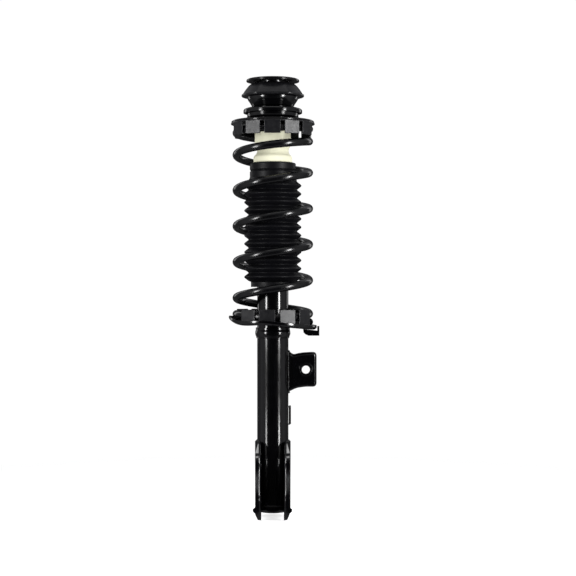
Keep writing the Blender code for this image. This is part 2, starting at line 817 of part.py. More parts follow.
def make_link_bracket(body):
    """A shallow tray, open at the back: a face with a hole for the link's stud, and a three-sided flange."""
    outline = [
        (0.0200, -0.4272),
        (0.0265, -0.4285),
        (0.0320, -0.4338),
        (0.0450, -0.4310),
        (0.0600, -0.4300),
        (0.0700, -0.4300),
        (0.0700, -0.4850),
        (0.0520, -0.4850),
        (0.0380, -0.4870),
        (0.0300, -0.4905),
        (0.0240, -0.4945),
        (0.0200, -0.4945),
    ]
    corner = 0.004
    tray = prism(
        "link_bracket", rounded(outline, corner, 2), "XZ", LINK_FACE, LINK_BACK, "gloss_black", body
    )
    sheet = BRACKET_SHEET
    inside = [
        (0.0150, -0.4340),
        (0.0320, -0.4338 - sheet),
        (0.0450, -0.4310 - sheet),
        (0.0700 - sheet, -0.4300 - sheet),
        (0.0700 - sheet, -0.4850 + sheet),
        (0.0520, -0.4850 + sheet),
        (0.0380, -0.4870 + sheet),
        (0.0280, -0.4880),
        (0.0150, -0.4880),
    ]
    hollow = prism("link_hollow", rounded(inside, 0.002, 2), "XZ", LINK_FACE + sheet, 0.05, "gloss_black")
    tube = prism("link_tube", circle((0, 0), TUBE_RADIUS + 2 * GAP, 48), "XY", -0.55, -0.40, "gloss_black")
    hole = prism("link_hole", circle(LINK_HOLE, LINK_HOLE_RADIUS), "XZ", -0.02, 0.02, "gloss_black")
    for cutter in (hollow, tube, hole):
        combine(tray, cutter, "DIFFERENCE")


def make_hose_bracket(body):
    outline = rounded([(-0.006, HOSE_TOP), (0.040, HOSE_TOP), (0.040, HOSE_FOOT), (-0.006, HOSE_FOOT)], 0.006)
    tab = prism("hose_bracket", outline, "YZ", *HOSE_TAB, "gloss_black", body)
    hole = prism("hose_hole", circle(HOSE_HOLE, HOSE_HOLE_RADIUS), "YZ", 0.02, 0.04, "gloss_black")
    combine(tab, hole, "DIFFERENCE")


def make_wire_bracket(body):
    """A small bent tab under the lower seat's low side, with a finger that rises outside the pan's rim."""
    outline = [
        (0.0485, -0.3931),
        (0.0710, -0.3956),
        (0.0710, -0.3878),
        (0.0742, -0.3878),
        (0.0742, -0.4032),
        (0.0570, -0.4032),
        (0.0520, -0.4010),
        (0.0490, -0.3980),
    ]
    inside = [(0.0450, -0.3962), (0.0800, -0.3988), (0.0800, -0.4100), (0.0450, -0.4100)]
    tab = prism("wire_bracket", outline, "XZ", -0.010, 0.012, "gloss_black", body)
    hollow = prism("wire_hollow", inside, "XZ", -0.007, 0.020, "gloss_black")
    finger = [(0.0708, -0.380), (0.080, -0.380), (0.080, -0.3988), (0.0708, -0.3988)]
    behind = prism("wire_behind", finger, "XZ", -0.0069, 0.020, "gloss_black")
    combine(tab, hollow, "DIFFERENCE")
    combine(tab, behind, "DIFFERENCE")


# ---------------------------------------------------------------- the whole strut

clear_scene()
MATERIALS = {
    "gloss_black": make_material("gloss_black", (0.012, 0.012, 0.014), 0.22),
    "satin_black": make_material("satin_black", (0.018, 0.018, 0.020), 0.38),
    "rubber": make_material("rubber", (0.040, 0.040, 0.046), 0.62),
    "boot_rubber": make_material("boot_rubber", (0.012, 0.012, 0.015), 0.40),
    "foam": make_material("foam", (0.83, 0.82, 0.62), 0.70),
    "zinc": make_material("zinc", (0.70, 0.70, 0.68), 0.30, 1.0),
    "chrome": make_material("chrome", (0.75, 0.75, 0.76), 0.08, 1.0),
    "steel": make_material("steel", (0.50, 0.50, 0.50), 0.35, 1.0),
    "iron": make_material("iron", (0.30, 0.30, 0.30), 0.55, 1.0),
    "ptfe": make_material("ptfe", (0.15, 0.22, 0.18), 0.50),
    "nylon": make_material("nylon", (0.75, 0.72, 0.62), 0.50),
}

top_mount = make_body("top_mount")
spring_seat = make_body("spring_seat")
strut_tube = make_body("tube")
cage_ring = make_body("cage")
nut_part = make_body("nut")
cap_part = make_body("cap")
piston_disc = make_body("piston_disc")
base_disc = make_body("base_disc")

make_mount(top_mount)
make_tower_hardware(cap_part, nut_part)
make_bearing(top_mount, spring_seat, cage_ring)
make_upper_seat(spring_seat)
make_spring(spring_seat)
make_bump_stop(spring_seat)
make_boot(spring_seat)
make_lower_seat(strut_tube)
make_rod(top_mount, piston_disc)
make_tubes(strut_tube, base_disc)
make_tube_top(strut_tube)
make_clevis(strut_tube)
make_link_bracket(strut_tube)
make_hose_bracket(strut_tube)
make_wire_bracket(strut_tube)
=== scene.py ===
"""The looks of the strut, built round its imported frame: fine surfaces, materials, floor, lights and camera.

Metres, +Z up along the piston rod, the frame's own origin at the top mount's upper face.
"""

import json
import math

import bmesh
import bpy
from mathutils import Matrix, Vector

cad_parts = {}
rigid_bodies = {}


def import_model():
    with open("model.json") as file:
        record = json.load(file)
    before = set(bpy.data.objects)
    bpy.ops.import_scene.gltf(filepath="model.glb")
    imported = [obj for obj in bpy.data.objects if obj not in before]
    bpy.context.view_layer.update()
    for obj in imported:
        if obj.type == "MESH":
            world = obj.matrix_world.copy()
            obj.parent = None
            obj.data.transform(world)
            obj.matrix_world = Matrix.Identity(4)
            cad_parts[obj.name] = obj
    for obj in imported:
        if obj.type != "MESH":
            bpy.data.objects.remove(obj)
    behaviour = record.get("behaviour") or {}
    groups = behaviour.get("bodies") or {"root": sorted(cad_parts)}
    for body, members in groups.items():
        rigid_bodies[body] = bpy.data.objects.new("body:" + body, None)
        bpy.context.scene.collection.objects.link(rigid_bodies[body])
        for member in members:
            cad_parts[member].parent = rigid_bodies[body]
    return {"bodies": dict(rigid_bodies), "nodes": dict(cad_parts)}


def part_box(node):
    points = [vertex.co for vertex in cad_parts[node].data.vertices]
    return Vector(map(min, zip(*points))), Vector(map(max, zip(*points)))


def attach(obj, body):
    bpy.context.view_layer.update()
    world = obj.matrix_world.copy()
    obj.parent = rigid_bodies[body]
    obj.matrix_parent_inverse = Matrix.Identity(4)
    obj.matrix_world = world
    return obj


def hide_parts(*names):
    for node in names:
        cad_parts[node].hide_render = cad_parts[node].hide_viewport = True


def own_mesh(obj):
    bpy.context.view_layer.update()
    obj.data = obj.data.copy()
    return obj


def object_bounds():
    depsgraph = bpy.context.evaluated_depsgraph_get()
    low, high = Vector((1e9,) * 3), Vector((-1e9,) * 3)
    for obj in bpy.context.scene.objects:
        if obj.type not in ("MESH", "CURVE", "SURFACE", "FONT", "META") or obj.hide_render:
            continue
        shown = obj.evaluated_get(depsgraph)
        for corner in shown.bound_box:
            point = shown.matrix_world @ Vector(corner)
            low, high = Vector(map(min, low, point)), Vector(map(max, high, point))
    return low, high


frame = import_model()
cad_bounds = [list(corner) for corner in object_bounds()]

# How finely round pieces are turned, and the gap that the frame keeps between touching pieces.
SIDES = 128
GAP = 0.0003

# Places read from the frame.
TUBE_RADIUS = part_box("reserve_tube")[1].x
TUBE_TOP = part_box("reserve_tube")[1].z
TUBE_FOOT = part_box("reserve_tube")[0].z
STRUT_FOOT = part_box("tube_end_cap")[0].z
OBJECT_FOOT = cad_bounds[0][2]
ROD_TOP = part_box("piston_rod")[1].z
CAP_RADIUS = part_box("tower_cap")[1].x
NUT_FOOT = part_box("tower_nut")[0].z
NUT_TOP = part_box("tower_nut")[1].z

# Spring, with its foot on the tilted pan and its top end closed: the same helix as the frame's.
WIRE_RADIUS = 0.0063
SPRING_RADIUS = 0.0582
SPRING_TURNS = 7.0
SPRING_PITCH = 0.0573
TOP_END_PITCH = 0.010
TOP_END_TURNS = 1.9
DEAD_TURNS = 0.4
FOOT_TURNS = 1.09
SPRING_FOOT = -0.3752
SPRING_STEPS = 72
WIRE_SIDES = 28
ACTIVE_TURNS = (1.3, 6.2)

# The lower pan: its slope, and its dip, with the dip's middle and half width in degrees and its inner radius.
PAN_SLOPE = 0.109
PAN_DIP = 0.0055
PAN_DIP_MIDDLE = -137
PAN_DIP_HALF = 43
PAN_DIP_START = 0.029
PAN_FLOOR = -0.3842

# Isolator lugs: flat blocks standing round the seats.
LUG_OUTER = 0.0678
LUG_INNER = 0.0649
LUG_WIDTH = math.radians(22)

# Sheet brackets.
CLEVIS_SHEET = 0.0032
BRACKET_SHEET = 0.0035
BEND_RADIUS = 0.0032
FLANGE_MIDDLE = 0.0194

# How brightly the white surroundings light what is matt.
SURROUND = 0.62


# ---------------- materials


class Nodes:
    """A short way to add nodes to one tree."""

    def __init__(self, tree):
        self.tree = tree

    def feed(self, node, inputs):
        """Sets each input to a plain value, or joins another node's output to it."""
        for key, value in inputs.items():
            if isinstance(value, bpy.types.NodeSocket):
                self.tree.links.new(value, node.inputs[key])
            else:
                node.inputs[key].default_value = value
        return node

    def add(self, kind, inputs=None, **settings):
        node = self.tree.nodes.new(kind)
        for name, value in settings.items():
            setattr(node, name, value)
        return self.feed(node, inputs or {})

    def noise(self, place, scale, detail):
        inputs = {"Scale": scale, "Detail": detail, "Vector": place}
        return self.add("ShaderNodeTexNoise", inputs).outputs["Fac"]

    def ranged(self, value, low, high):
        """Noise, which mostly lies between 0.3 and 0.7, spread over low to high."""
        inputs = {"Value": value, "From Min": 0.3, "From Max": 0.7, "To Min": low, "To Max": high}
        return self.add("ShaderNodeMapRange", inputs).outputs["Result"]

    def smooth_step(self, value, low, high):
        """0 below low, 1 above high, smooth between."""
        inputs = {"Value": value, "From Min": low, "From Max": high}
        node = self.add("ShaderNodeMapRange", inputs, interpolation_type="SMOOTHSTEP")
        return node.outputs["Result"]

    def mixed(self, share, first, second):
        inputs = {0: share, 6: (*first, 1.0), 7: (*second, 1.0)}
        return self.add("ShaderNodeMix", inputs, data_type="RGBA").outputs[2]

    def bump(self, height, strength, distance, **more):
        inputs = {"Strength": strength, "Distance": distance, "Height": height, **more}
        return self.add("ShaderNodeBump", inputs).outputs["Normal"]


def surface(name, colour, roughness, metallic=0.0, tint=0.2, mottle=35.0, rough_spread=0.05, grain=900.0,
            depth=0.00004, coat=0.0, specular=0.5):
    """A principled material whose colour, gloss and relief vary by noise, in the piece's own space."""
    material = bpy.data.materials.new(name)
    material.use_nodes = True
    nodes = Nodes(material.node_tree)
    place = nodes.add("ShaderNodeTexCoord").outputs["Object"]
    share = nodes.ranged(nodes.noise(place, mottle, 5.0), 0.0, 1.0)
    light = [min(1.0, channel * (1 + tint)) for channel in colour]
    dark = [channel * (1 - tint) for channel in colour]
    gloss = nodes.noise(place, mottle * 3.1, 4.0)
    nodes.feed(
        material.node_tree.nodes["Principled BSDF"],
        {
            "Base Color": nodes.mixed(share, dark, light),
            "Roughness": nodes.ranged(gloss, roughness - rough_spread, roughness + rough_spread),
            "Normal": nodes.bump(nodes.noise(place, grain, 2.0), 0.5, depth),
            "Metallic": metallic,
            "Coat Weight": coat,
            "Coat Roughness": 0.08,
            "Specular IOR Level": specular,
        },
    )
    return material


def add_relief(material, strength, distance, kind, output, inputs, **settings):
    """A texture's relief over the material's own."""
    nodes = Nodes(material.node_tree)
    shader = material.node_tree.nodes["Principled BSDF"]
    under = shader.inputs["Normal"].links[0].from_socket
    texture = nodes.add(kind, inputs, **settings)
    nodes.feed(texture, {"Vector": nodes.add("ShaderNodeTexCoord").outputs["Object"]})
    relief = nodes.bump(texture.outputs[output], strength, distance, Normal=under)
    nodes.feed(shader, {"Normal": relief})


def add_waves(material, scale, strength, distance):
    """Fine level lines round the axis, as turning or grinding leaves."""
    inputs = {"Scale": scale, "Distortion": 1.5}
    settings = {"wave_type": "BANDS", "bands_direction": "Z"}
    add_relief(material, strength, distance, "ShaderNodeTexWave", "Fac", inputs, **settings)


def add_cells(material, scale, strength, distance):
    """Small pores or crystals."""
    add_relief(material, strength, distance, "ShaderNodeTexVoronoi", "Distance", {"Scale": scale})


LOOK_VALUES = {
    "gloss_black": dict(
        colour=(0.0006, 0.0006, 0.0009), roughness=0.15, tint=0.3, rough_spread=0.03, grain=650.0,
        depth=0.00002, coat=0.15,
    ),
    "satin_black": dict(
        colour=(0.0012, 0.0012, 0.0016), roughness=0.20, tint=0.3, rough_spread=0.05, grain=800.0,
        depth=0.00003,
    ),
    "rubber": dict(
        colour=(0.0035, 0.0035, 0.0046), roughness=0.35, tint=0.22, mottle=60.0, rough_spread=0.06,
        grain=1500.0, depth=0.00005,
    ),
    "boot_rubber": dict(
        colour=(0.0022, 0.0022, 0.0032), roughness=0.46, tint=0.25, mottle=45.0, rough_spread=0.05,
        grain=1300.0, depth=0.00003, specular=0.16,
    ),
    "foam": dict(
        colour=(0.80, 0.79, 0.60), roughness=0.62, tint=0.04, mottle=50.0, rough_spread=0.08,
        grain=1200.0, depth=0.00006, specular=0.3,
    ),
    "zinc": dict(
        colour=(0.66, 0.67, 0.68), roughness=0.26, metallic=1.0, tint=0.10, mottle=180.0,
        rough_spread=0.07, grain=2200.0, depth=0.00002,
    ),
    "chrome": dict(
        colour=(0.74, 0.75, 0.77), roughness=0.08, metallic=1.0, tint=0.03, mottle=90.0,
        rough_spread=0.03, grain=2600.0, depth=0.000004,
    ),
    "steel": dict(
        colour=(0.46, 0.46, 0.47), roughness=0.33, metallic=1.0, tint=0.12, mottle=120.0,
        rough_spread=0.08, grain=1800.0, depth=0.00002,
    ),
    "iron": dict(
        colour=(0.22, 0.22, 0.225), roughness=0.55, metallic=1.0, tint=0.20, mottle=200.0,
        rough_spread=0.10, grain=1700.0, depth=0.00008,
    ),
    "ptfe": dict(colour=(0.13, 0.20, 0.16), roughness=0.48, tint=0.15, mottle=150.0, grain=1600.0),
    "nylon": dict(colour=(0.70, 0.67, 0.57), roughness=0.45, tint=0.05, mottle=90.0, grain=1500.0),
}


def make_looks():
    """One material for each of the record's slots."""
    looks = {name: surface(name, **values) for name, values in LOOK_VALUES.items()}
    add_waves(looks["chrome"], 900.0, 0.10, 0.00001)
    add_waves(looks["steel"], 500.0, 0.25, 0.00002)
    add_cells(looks["zinc"], 900.0, 0.25, 0.00003)
    add_cells(looks["foam"], 700.0, 0.35, 0.00010)
    add_cells(looks["iron"], 1100.0, 0.5, 0.00006)
    return looks


LOOKS = make_looks()


def dress_cad_nodes():
    """Every CAD node takes its slot's look: the material that it was packed with bears the slot's name."""
    for node in frame["nodes"].values():
        slot = node.data.materials[0].name.split(".")[0]
        node.data.materials.clear()
        node.data.materials.append(LOOKS[slot])


# ---------------- mesh helpers


def add_object(name, data):
    """A new object in the scene."""
    made = bpy.data.objects.new(name, data)
    bpy.context.scene.collection.objects.link(made)
    return made


def mesh_data(name, mesh):
    """The bmesh as a mesh; the bmesh is freed."""
    data = bpy.data.meshes.new(name)
    mesh.to_mesh(data)
    mesh.free()
    return data


def add_piece(name, mesh, look, body, nodes=(), sharp=40):
    """A named piece from a bmesh, smooth across its shallow edges, riding on a body."""
    bmesh.ops.recalc_face_normals(mesh, faces=mesh.faces)
    data = mesh_data(name, mesh)
    data.shade_smooth()
    data.set_sharp_from_angle(angle=math.radians(sharp))
    data.materials.append(LOOKS[look])
    piece = add_object(name, data)
    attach(piece, body)
    if nodes:
        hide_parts(*nodes)
    return piece


def even_normals(piece):
    """Flat stretches keep flat shading beside rounded edges."""
    piece.modifiers.new("even_normals", "WEIGHTED_NORMAL").keep_sharp = True
    return piece


def round_edges(piece, width, angle):
    """Rounds the edges that turn by more than the angle, in degrees."""
    bevel = piece.modifiers.new("round_edges", "BEVEL")
    bevel.limit_method = "ANGLE"
    bevel.angle_limit = math.radians(angle)
    bevel.width = width
    bevel.segments = 3
    return even_normals(piece)


def skin(mesh, rings, closed=False):
    """Faces between each ring of points and the next one, and from the last to the first if closed."""
    following = rings[1:] + rings[:1] if closed else rings[1:]
    for low, high in zip(rings, following):
        if low[0] is low[1] and high[0] is high[1]:
            continue
        for k in range(len(low)):
            after = (k + 1) % len(low)
            mesh.faces.new(dict.fromkeys((low[k], low[after], high[after], high[k])))


def circle(centre, radius, sides=40):
    """Points evenly round a centre, in the plane."""
    angles = [math.tau * k / sides for k in range(sides)]
    return [Vector((centre[0] + radius * math.cos(a), centre[1] + radius * math.sin(a))) for a in angles]


def softened(outline, corner, steps=4):
    """The closed outline with its corners rounded. A point may carry its own rounding as a third value."""
    result = []
    for index, point in enumerate(outline):
        here = Vector(point[:2])
        back = Vector(outline[index - 1][:2]) - here
        ahead = Vector(outline[(index + 1) % len(outline)][:2]) - here
        wanted = point[2] if len(point) > 2 else corner
        cut = min(wanted, 0.45 * back.length, 0.45 * ahead.length)
        if cut < 1e-6 or here.x == 0:
            result.append(here)
            continue
        start, end = here + back.normalized() * cut, here + ahead.normalized() * cut
        for step in range(steps + 1):
            t = step / steps
            result.append((1 - t) ** 2 * start + 2 * t * (1 - t) * here + t * t * end)
    return result


def turn_into(mesh, outline, sides=SIDES, shape=None, shift=None):
    """Turns a closed (radius, height) outline about the axis. shape(angle, radius, height) bends a radius."""
    rings = []
    for radius, height in outline:
        if radius < 1e-7:
            rings.append([mesh.verts.new((0, 0, height))] * sides)
            continue
        ring = []
        for k in range(sides):
            angle = math.tau * k / sides
            reach = shape(angle, radius, height) if shape else radius
            x, y = reach * math.cos(angle), reach * math.sin(angle)
            ring.append(mesh.verts.new((x, y, height + (shift(x, y) if shift else 0))))
        rings.append(ring)
    skin(mesh, rings, closed=True)


def turned(name, outline, look, body, corner=0.0006, sides=SIDES, shape=None, shift=None, sharp=40):
    """A turned piece that stands for the CAD node of the same name."""
    mesh = bmesh.new()
    turn_into(mesh, softened(outline, corner), sides, shape, shift)
    return even_normals(add_piece(name, mesh, look, body, (name,), sharp))


def soft_min(first, second, blend):
    """The smaller of the two, rounded over about `blend` where they meet."""
    share = max(0.0, min(1.0, 0.5 + (second - first) / (2 * blend)))
    return second * (1 - share) + first * share - blend * share * (1 - share)


def hex_radius(angle, inradius):
    return inradius / math.cos(angle % (math.pi / 3) - math.pi / 6)


def thread(angle, height, pitch, depth):
    """How far a right-handed thread lies under its crest at this angle and height."""
    phase = (height / pitch - angle / math.tau) % 1.0
    return depth * min(1.0, 2.6 * abs(phase - 0.5))


def lines_up(low, high, step):
    """Even heights from low to high, about `step` apart."""
    count = max(1, round((high - low) / step))
    return [low + (high - low) * index / count for index in range(count + 1)]


# ---------------- top mount


def make_dome():
    """The mount's rubber dome: lobes left and right, a flat front and back, and a recess round the rod."""
    flat_share, rim = 0.79, 0.0265

    def plan(angle, radius, height):
        if radius < rim:
            return radius
        flat = flat_share * radius + (1 - flat_share) * rim * 0.6
        return soft_min(radius, flat / max(abs(math.sin(angle)), 0.05), 0.0016)

    outline = [
        (0.0125, -0.0130, 0.0002),
        (0.0213, -0.0130, 0.0008),
        (0.0222, 0.0000, 0.0010),
        (0.0290, 0.0000, 0.0020),
        (0.0345, -0.0012, 0.0020),
        (0.0385, -0.0042, 0.0030),
        (0.0440, -0.0112, 0.0040),
        (0.0484, -0.0180, 0.0010),
        (0.0500, -0.0186, 0.0004),
        (0.0500, -0.0210, 0.0005),
        (0.0492, -0.0216, 0.0003),
        (0.0400, -0.0216, 0.0020),
        (0.0376, -0.0232, 0.0008),
        (0.0288, -0.0335, 0.0003),
        (0.0125, -0.0335, 0.0002),
    ]
    turned("mount_rubber", outline, "rubber", "top_mount", shape=plan, sides=144)


def make_mount_metal():
    shell = [
        (0.0382, -0.0219),
        (0.0404, -0.0219, 0.0008),
        (0.0410, -0.0228, 0.0006),
        (0.0402, -0.0262, 0.0030),
        (0.0360, -0.0325, 0.0040),
        (0.0330, -0.0376, 0.0008),
        (0.0200, -0.0376),
        (0.0200, -0.0345),
        (0.0302, -0.0345, 0.0020),
    ]
    turned("mount_shell", shell, "gloss_black", "top_mount")
    cover = [
        (0.0235, -0.0379, 0.0003),
        (0.0325, -0.0379, 0.0015),
        (0.0395, -0.0396, 0.0030),
        (0.0452, -0.0412, 0.0012),
        (0.0470, -0.0430, 0.0012),
        (0.0470, -0.0480, 0.0006),
        (0.0447, -0.0480, 0.0004),
        (0.0447, -0.0445, 0.0006),
        (0.0410, -0.0425, 0.0006),
        (0.0235, -0.0425, 0.0003),
    ]
    turned("bearing_cover", cover, "gloss_black", "top_mount")


def make_cap():
    """The tower cap: a cup for the nut, two raised rings, two circles of pips, and a rubber ring under it."""
    top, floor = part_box("tower_cap")[1].z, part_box("tower_cap")[0].z
    low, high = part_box("cap_rubber")
    rim_foot = low.z + 0.0002
    outline = [
        (0.0077, floor + 0.0020, 0.0003),
        (0.0172, floor + 0.0020, 0.0020),
        (0.0187, top - 0.0012, 0.0010),
        (0.0196, top + 0.0000, 0.0004),
        (0.0206, top + 0.0000, 0.0004),
        (0.0212, top - 0.0008, 0.0004),
        (0.0222, top - 0.0008, 0.0004),
        (0.0228, top - 0.0001, 0.0003),
        (0.0238, top - 0.0001, 0.0004),
        (0.0250, top - 0.0010, 0.0006),
        (0.0330, top - 0.0010, 0.0008),
        (CAP_RADIUS - 0.0022, top - 0.0006, 0.0008),
        (CAP_RADIUS, top - 0.0018, 0.0008),
        (CAP_RADIUS, rim_foot, 0.0003),
        (CAP_RADIUS - 0.0015, rim_foot, 0.0003),
        (CAP_RADIUS - 0.0016, rim_foot + 0.0028, 0.0003),
        (0.0215, rim_foot + 0.0028, 0.0008),
        (0.0202, floor + 0.0012, 0.0012),
        (0.0188, floor, 0.0006),
        (0.0077, floor, 0.0002),
    ]
    mesh = bmesh.new()
    turn_into(mesh, softened(outline, 0.0004))
    pips = 36
    for radius, size in ((0.0362, 0.0011), (0.0287, 0.0007)):
        for index in range(pips):
            angle = math.tau * (index + 0.5) / pips
            add_pip(mesh, radius * math.cos(angle), radius * math.sin(angle), top - 0.0012, size)
    even_normals(add_piece("tower_cap", mesh, "satin_black", "cap", ("tower_cap",)))
    ring = [
        (0.0290, high.z, 0.0004),
        (high.x, high.z, 0.0004),
        (high.x, low.z + 0.0006, 0.0004),
        (0.0384, low.z, 0.0004),
        (0.0370, low.z + 0.0008, 0.0004),
        (0.0352, low.z, 0.0004),
        (0.0336, low.z + 0.0008, 0.0004),
        (0.0318, low.z, 0.0004),
        (0.0290, low.z + 0.0006, 0.0004),
    ]
    turned("cap_rubber", ring, "rubber", "cap")


def add_pip(mesh, x, y, z, radius):
    """A small round pip that stands on a level face."""
    sides, rows, rise = 12, 4, 0.75 * radius
    rings = []
    for row in range(rows):
        tilt = math.pi / 2 * row / rows
        spots = circle((x, y), radius * math.cos(tilt), sides)
        rings.append([mesh.verts.new((*spot, z + rise * math.sin(tilt))) for spot in spots])
    mesh.faces.new(reversed(rings[0]))
    rings.append([mesh.verts.new((x, y, z + rise))] * sides)
    skin(mesh, rings)


def make_nut():
    """A flanged hexagon nut, its corners taken off by a cone, with a threaded bore."""
    pitch, bore = 0.0015, 0.0071
    hexagon, chamfer = 0.0105, 0.0011
    body_foot = NUT_FOOT + 0.0031

    def shape(angle, radius, height):
        if radius < bore + 0.0008:
            return radius + thread(angle, height, pitch, 0.0006)
        if height > body_foot and radius > 0.0103:
            cone = hexagon + max(0.0, NUT_TOP - height) * 1.6
            return soft_min(hex_radius(angle, hexagon), cone, 0.0002)
        return radius

    outline = [
        (0.0150, NUT_FOOT),
        (0.0150, NUT_FOOT + 0.0012),
        (0.0146, NUT_FOOT + 0.0016),
        (0.0130, NUT_FOOT + 0.0030),
        (0.0126, body_foot + 0.0001),
    ]
    outline += [(hexagon, height) for height in lines_up(body_foot + 0.0002, NUT_TOP - 0.0001, 0.0005)]
    outline += [(0.0101, NUT_TOP), (bore + 0.0010, NUT_TOP)]
    threaded = lines_up(NUT_FOOT + 0.0003, NUT_TOP - chamfer, 0.00025)
    outline += [(bore, height) for height in reversed(threaded)]
    outline += [(bore + 0.0010, NUT_FOOT)]
    turned("tower_nut", outline, "zinc", "nut", corner=0.0, shape=shape, sides=96, sharp=30)


def make_rod():
    """The ground and chromed rod, its threaded stub with a hexagon socket, and its spigot in the piston."""
    shoulder, piston_shoulder, spigot = -0.0389, -0.3450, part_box("piston_rod")[0].z
    stub, bore, pitch = 0.0069, 0.0031, 0.0015
    thread_foot = -0.0300

    def shape(angle, radius, height):
        if radius < bore + 0.0002 and height > shoulder:
            return hex_radius(angle, radius * 0.93)
        if abs(radius - stub) < 1e-5 and height > thread_foot:
            return radius - thread(angle, height, pitch, 0.0008)
        return radius

    outline = [(0, ROD_TOP - 0.006), (bore, ROD_TOP - 0.006), (bore, ROD_TOP), (stub - 0.0011, ROD_TOP)]
    outline += [(stub, height) for height in reversed(lines_up(thread_foot, ROD_TOP - 0.0008, 0.00025))]
    outline += [
        (stub - 0.0003, thread_foot - 0.001),
        (stub - 0.0001, shoulder + 0.0004),
        (0.0104, shoulder),
        (0.0110, shoulder - 0.0006),
        (0.0110, piston_shoulder + 0.0006),
        (0.0104, piston_shoulder),
        (0.0060, piston_shoulder),
        (0.0060, spigot + 0.0005),
        (0.0055, spigot),
        (0, spigot),
    ]
    turned("piston_rod", outline, "chrome", "top_mount", corner=0.0, shape=shape, sides=72, sharp=30)


# ---------------- spring, seats and isolators


def eased(share):
    """0 below 0, 1 above 1, smooth between."""
    share = min(max(share, 0.0), 1.0)
    return share * share * (3 - 2 * share)


def eased_sum(share):
    """The running integral of eased()."""
    if share <= 0:
        return 0.0
    if share >= 1:
        return share - 0.5
    return share**3 - share**4 / 2


def spring_point(turn):
    """The wire's middle line, counted in turns from its foot."""
    angle = math.tau * turn
    rise = SPRING_PITCH * FOOT_TURNS * eased_sum((turn - DEAD_TURNS) / FOOT_TURNS)
    closing = eased_sum((turn - SPRING_TURNS + TOP_END_TURNS) / TOP_END_TURNS)
    rise -= (SPRING_PITCH - TOP_END_PITCH) * TOP_END_TURNS * closing
    tilt = PAN_SLOPE * SPRING_RADIUS * (1 - eased((turn - 0.5) / 0.6))
    x, y = SPRING_RADIUS * math.cos(angle), SPRING_RADIUS * math.sin(angle)
    return x, y, SPRING_FOOT + rise - tilt * math.cos(angle)


def wire_nodes():
    """Geometry nodes: each point of the line rises by its share of the tube's travel, then it's a wire."""
    tree = bpy.data.node_groups.new("spring_wire", "GeometryNodeTree")
    for direction in ("INPUT", "OUTPUT"):
        tree.interface.new_socket("Geometry", in_out=direction, socket_type="NodeSocketGeometry")
    nodes = Nodes(tree)

    def stored(name):
        kind = "GeometryNodeInputNamedAttribute"
        return nodes.add(kind, {"Name": name}, data_type="FLOAT").outputs["Attribute"]

    def maths(operation, first, second):
        return nodes.add("ShaderNodeMath", {0: first, 1: second}, operation=operation).outputs[0]

    def parts(vector):
        return nodes.add("ShaderNodeSeparateXYZ", {0: vector}).outputs

    body = {"Object": frame["bodies"]["tube"]}
    tube = nodes.add("GeometryNodeObjectInfo", body, transform_space="ORIGINAL")
    travel = parts(tube.outputs["Location"])["Z"]
    here = parts(nodes.add("GeometryNodeInputPosition").outputs[0])
    height = maths("ADD", stored("rest_height"), maths("MULTIPLY", stored("travel_share"), travel))
    lifted = nodes.add("ShaderNodeCombineXYZ", {"X": here["X"], "Y": here["Y"], "Z": height}).outputs[0]
    start = nodes.add("NodeGroupInput").outputs[0]
    placed = nodes.add("GeometryNodeSetPosition", {"Geometry": start, "Position": lifted}).outputs[0]
    line = nodes.add("GeometryNodeMeshToCurve", {"Mesh": placed}).outputs[0]
    section = {"Resolution": WIRE_SIDES, "Radius": WIRE_RADIUS}
    ring = nodes.add("GeometryNodeCurvePrimitiveCircle", section).outputs["Curve"]
    sweep = {"Curve": line, "Profile Curve": ring, "Fill Caps": True}
    wire = nodes.add("GeometryNodeCurveToMesh", sweep).outputs[0]
    paint = nodes.add("GeometryNodeSetMaterial", {"Geometry": wire, "Material": LOOKS["satin_black"]})
    nodes.add("NodeGroupOutput", {0: paint.outputs[0]})
    return tree


def make_spring():
    """A line along the wire, made round by geometry nodes. Its end turns stay on their seats throughout."""
    count = round(SPRING_TURNS * SPRING_STEPS)
    turns = [SPRING_TURNS * index / count for index in range(count + 1)]
    points = [spring_point(turn) for turn in turns]
    data = bpy.data.meshes.new("coil_spring")
    data.from_pydata(points, [(index, index + 1) for index in range(count)], [])
    data.materials.append(LOOKS["satin_black"])
    first, last = ACTIVE_TURNS
    shares = [1 - min(1.0, max(0.0, (turn - first) / (last - first))) for turn in turns]
    for name, values in (("rest_height", [point[2] for point in points]), ("travel_share", shares)):
        data.attributes.new(name, "FLOAT", "POINT").data.foreach_set("value", values)
    spring = add_object("coil_spring", data)
    spring.modifiers.new("wire", "NODES").node_group = wire_nodes()
    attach(spring, "spring_seat")
    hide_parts("coil_spring")
    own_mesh(spring)


def add_lug(mesh, middle, foot, top, inner, outer):
    """A flat block that faces outwards at one angle, between two radii, from foot(x, y) up to top."""
    half = LUG_WIDTH / 2
    flat_out, flat_in = outer * math.cos(half), inner * math.cos(half)
    corners = []
    for reach in (flat_in, flat_out):
        for side in (-1, 1):
            across = reach * math.tan(half) * side
            x = reach * math.cos(middle) - across * math.sin(middle)
            y = reach * math.sin(middle) + across * math.cos(middle)
            corners.append((x, y))
    low = [mesh.verts.new((x, y, foot(x, y))) for x, y in corners]
    high = [mesh.verts.new((x, y, top)) for x, y in corners]
    mesh.faces.new((low[0], low[1], low[3], low[2]))
    mesh.faces.new((high[0], high[2], high[3], high[1]))
    for a, b in ((0, 1), (1, 3), (3, 2), (2, 0)):
        mesh.faces.new((low[a], high[a], high[b], low[b]))


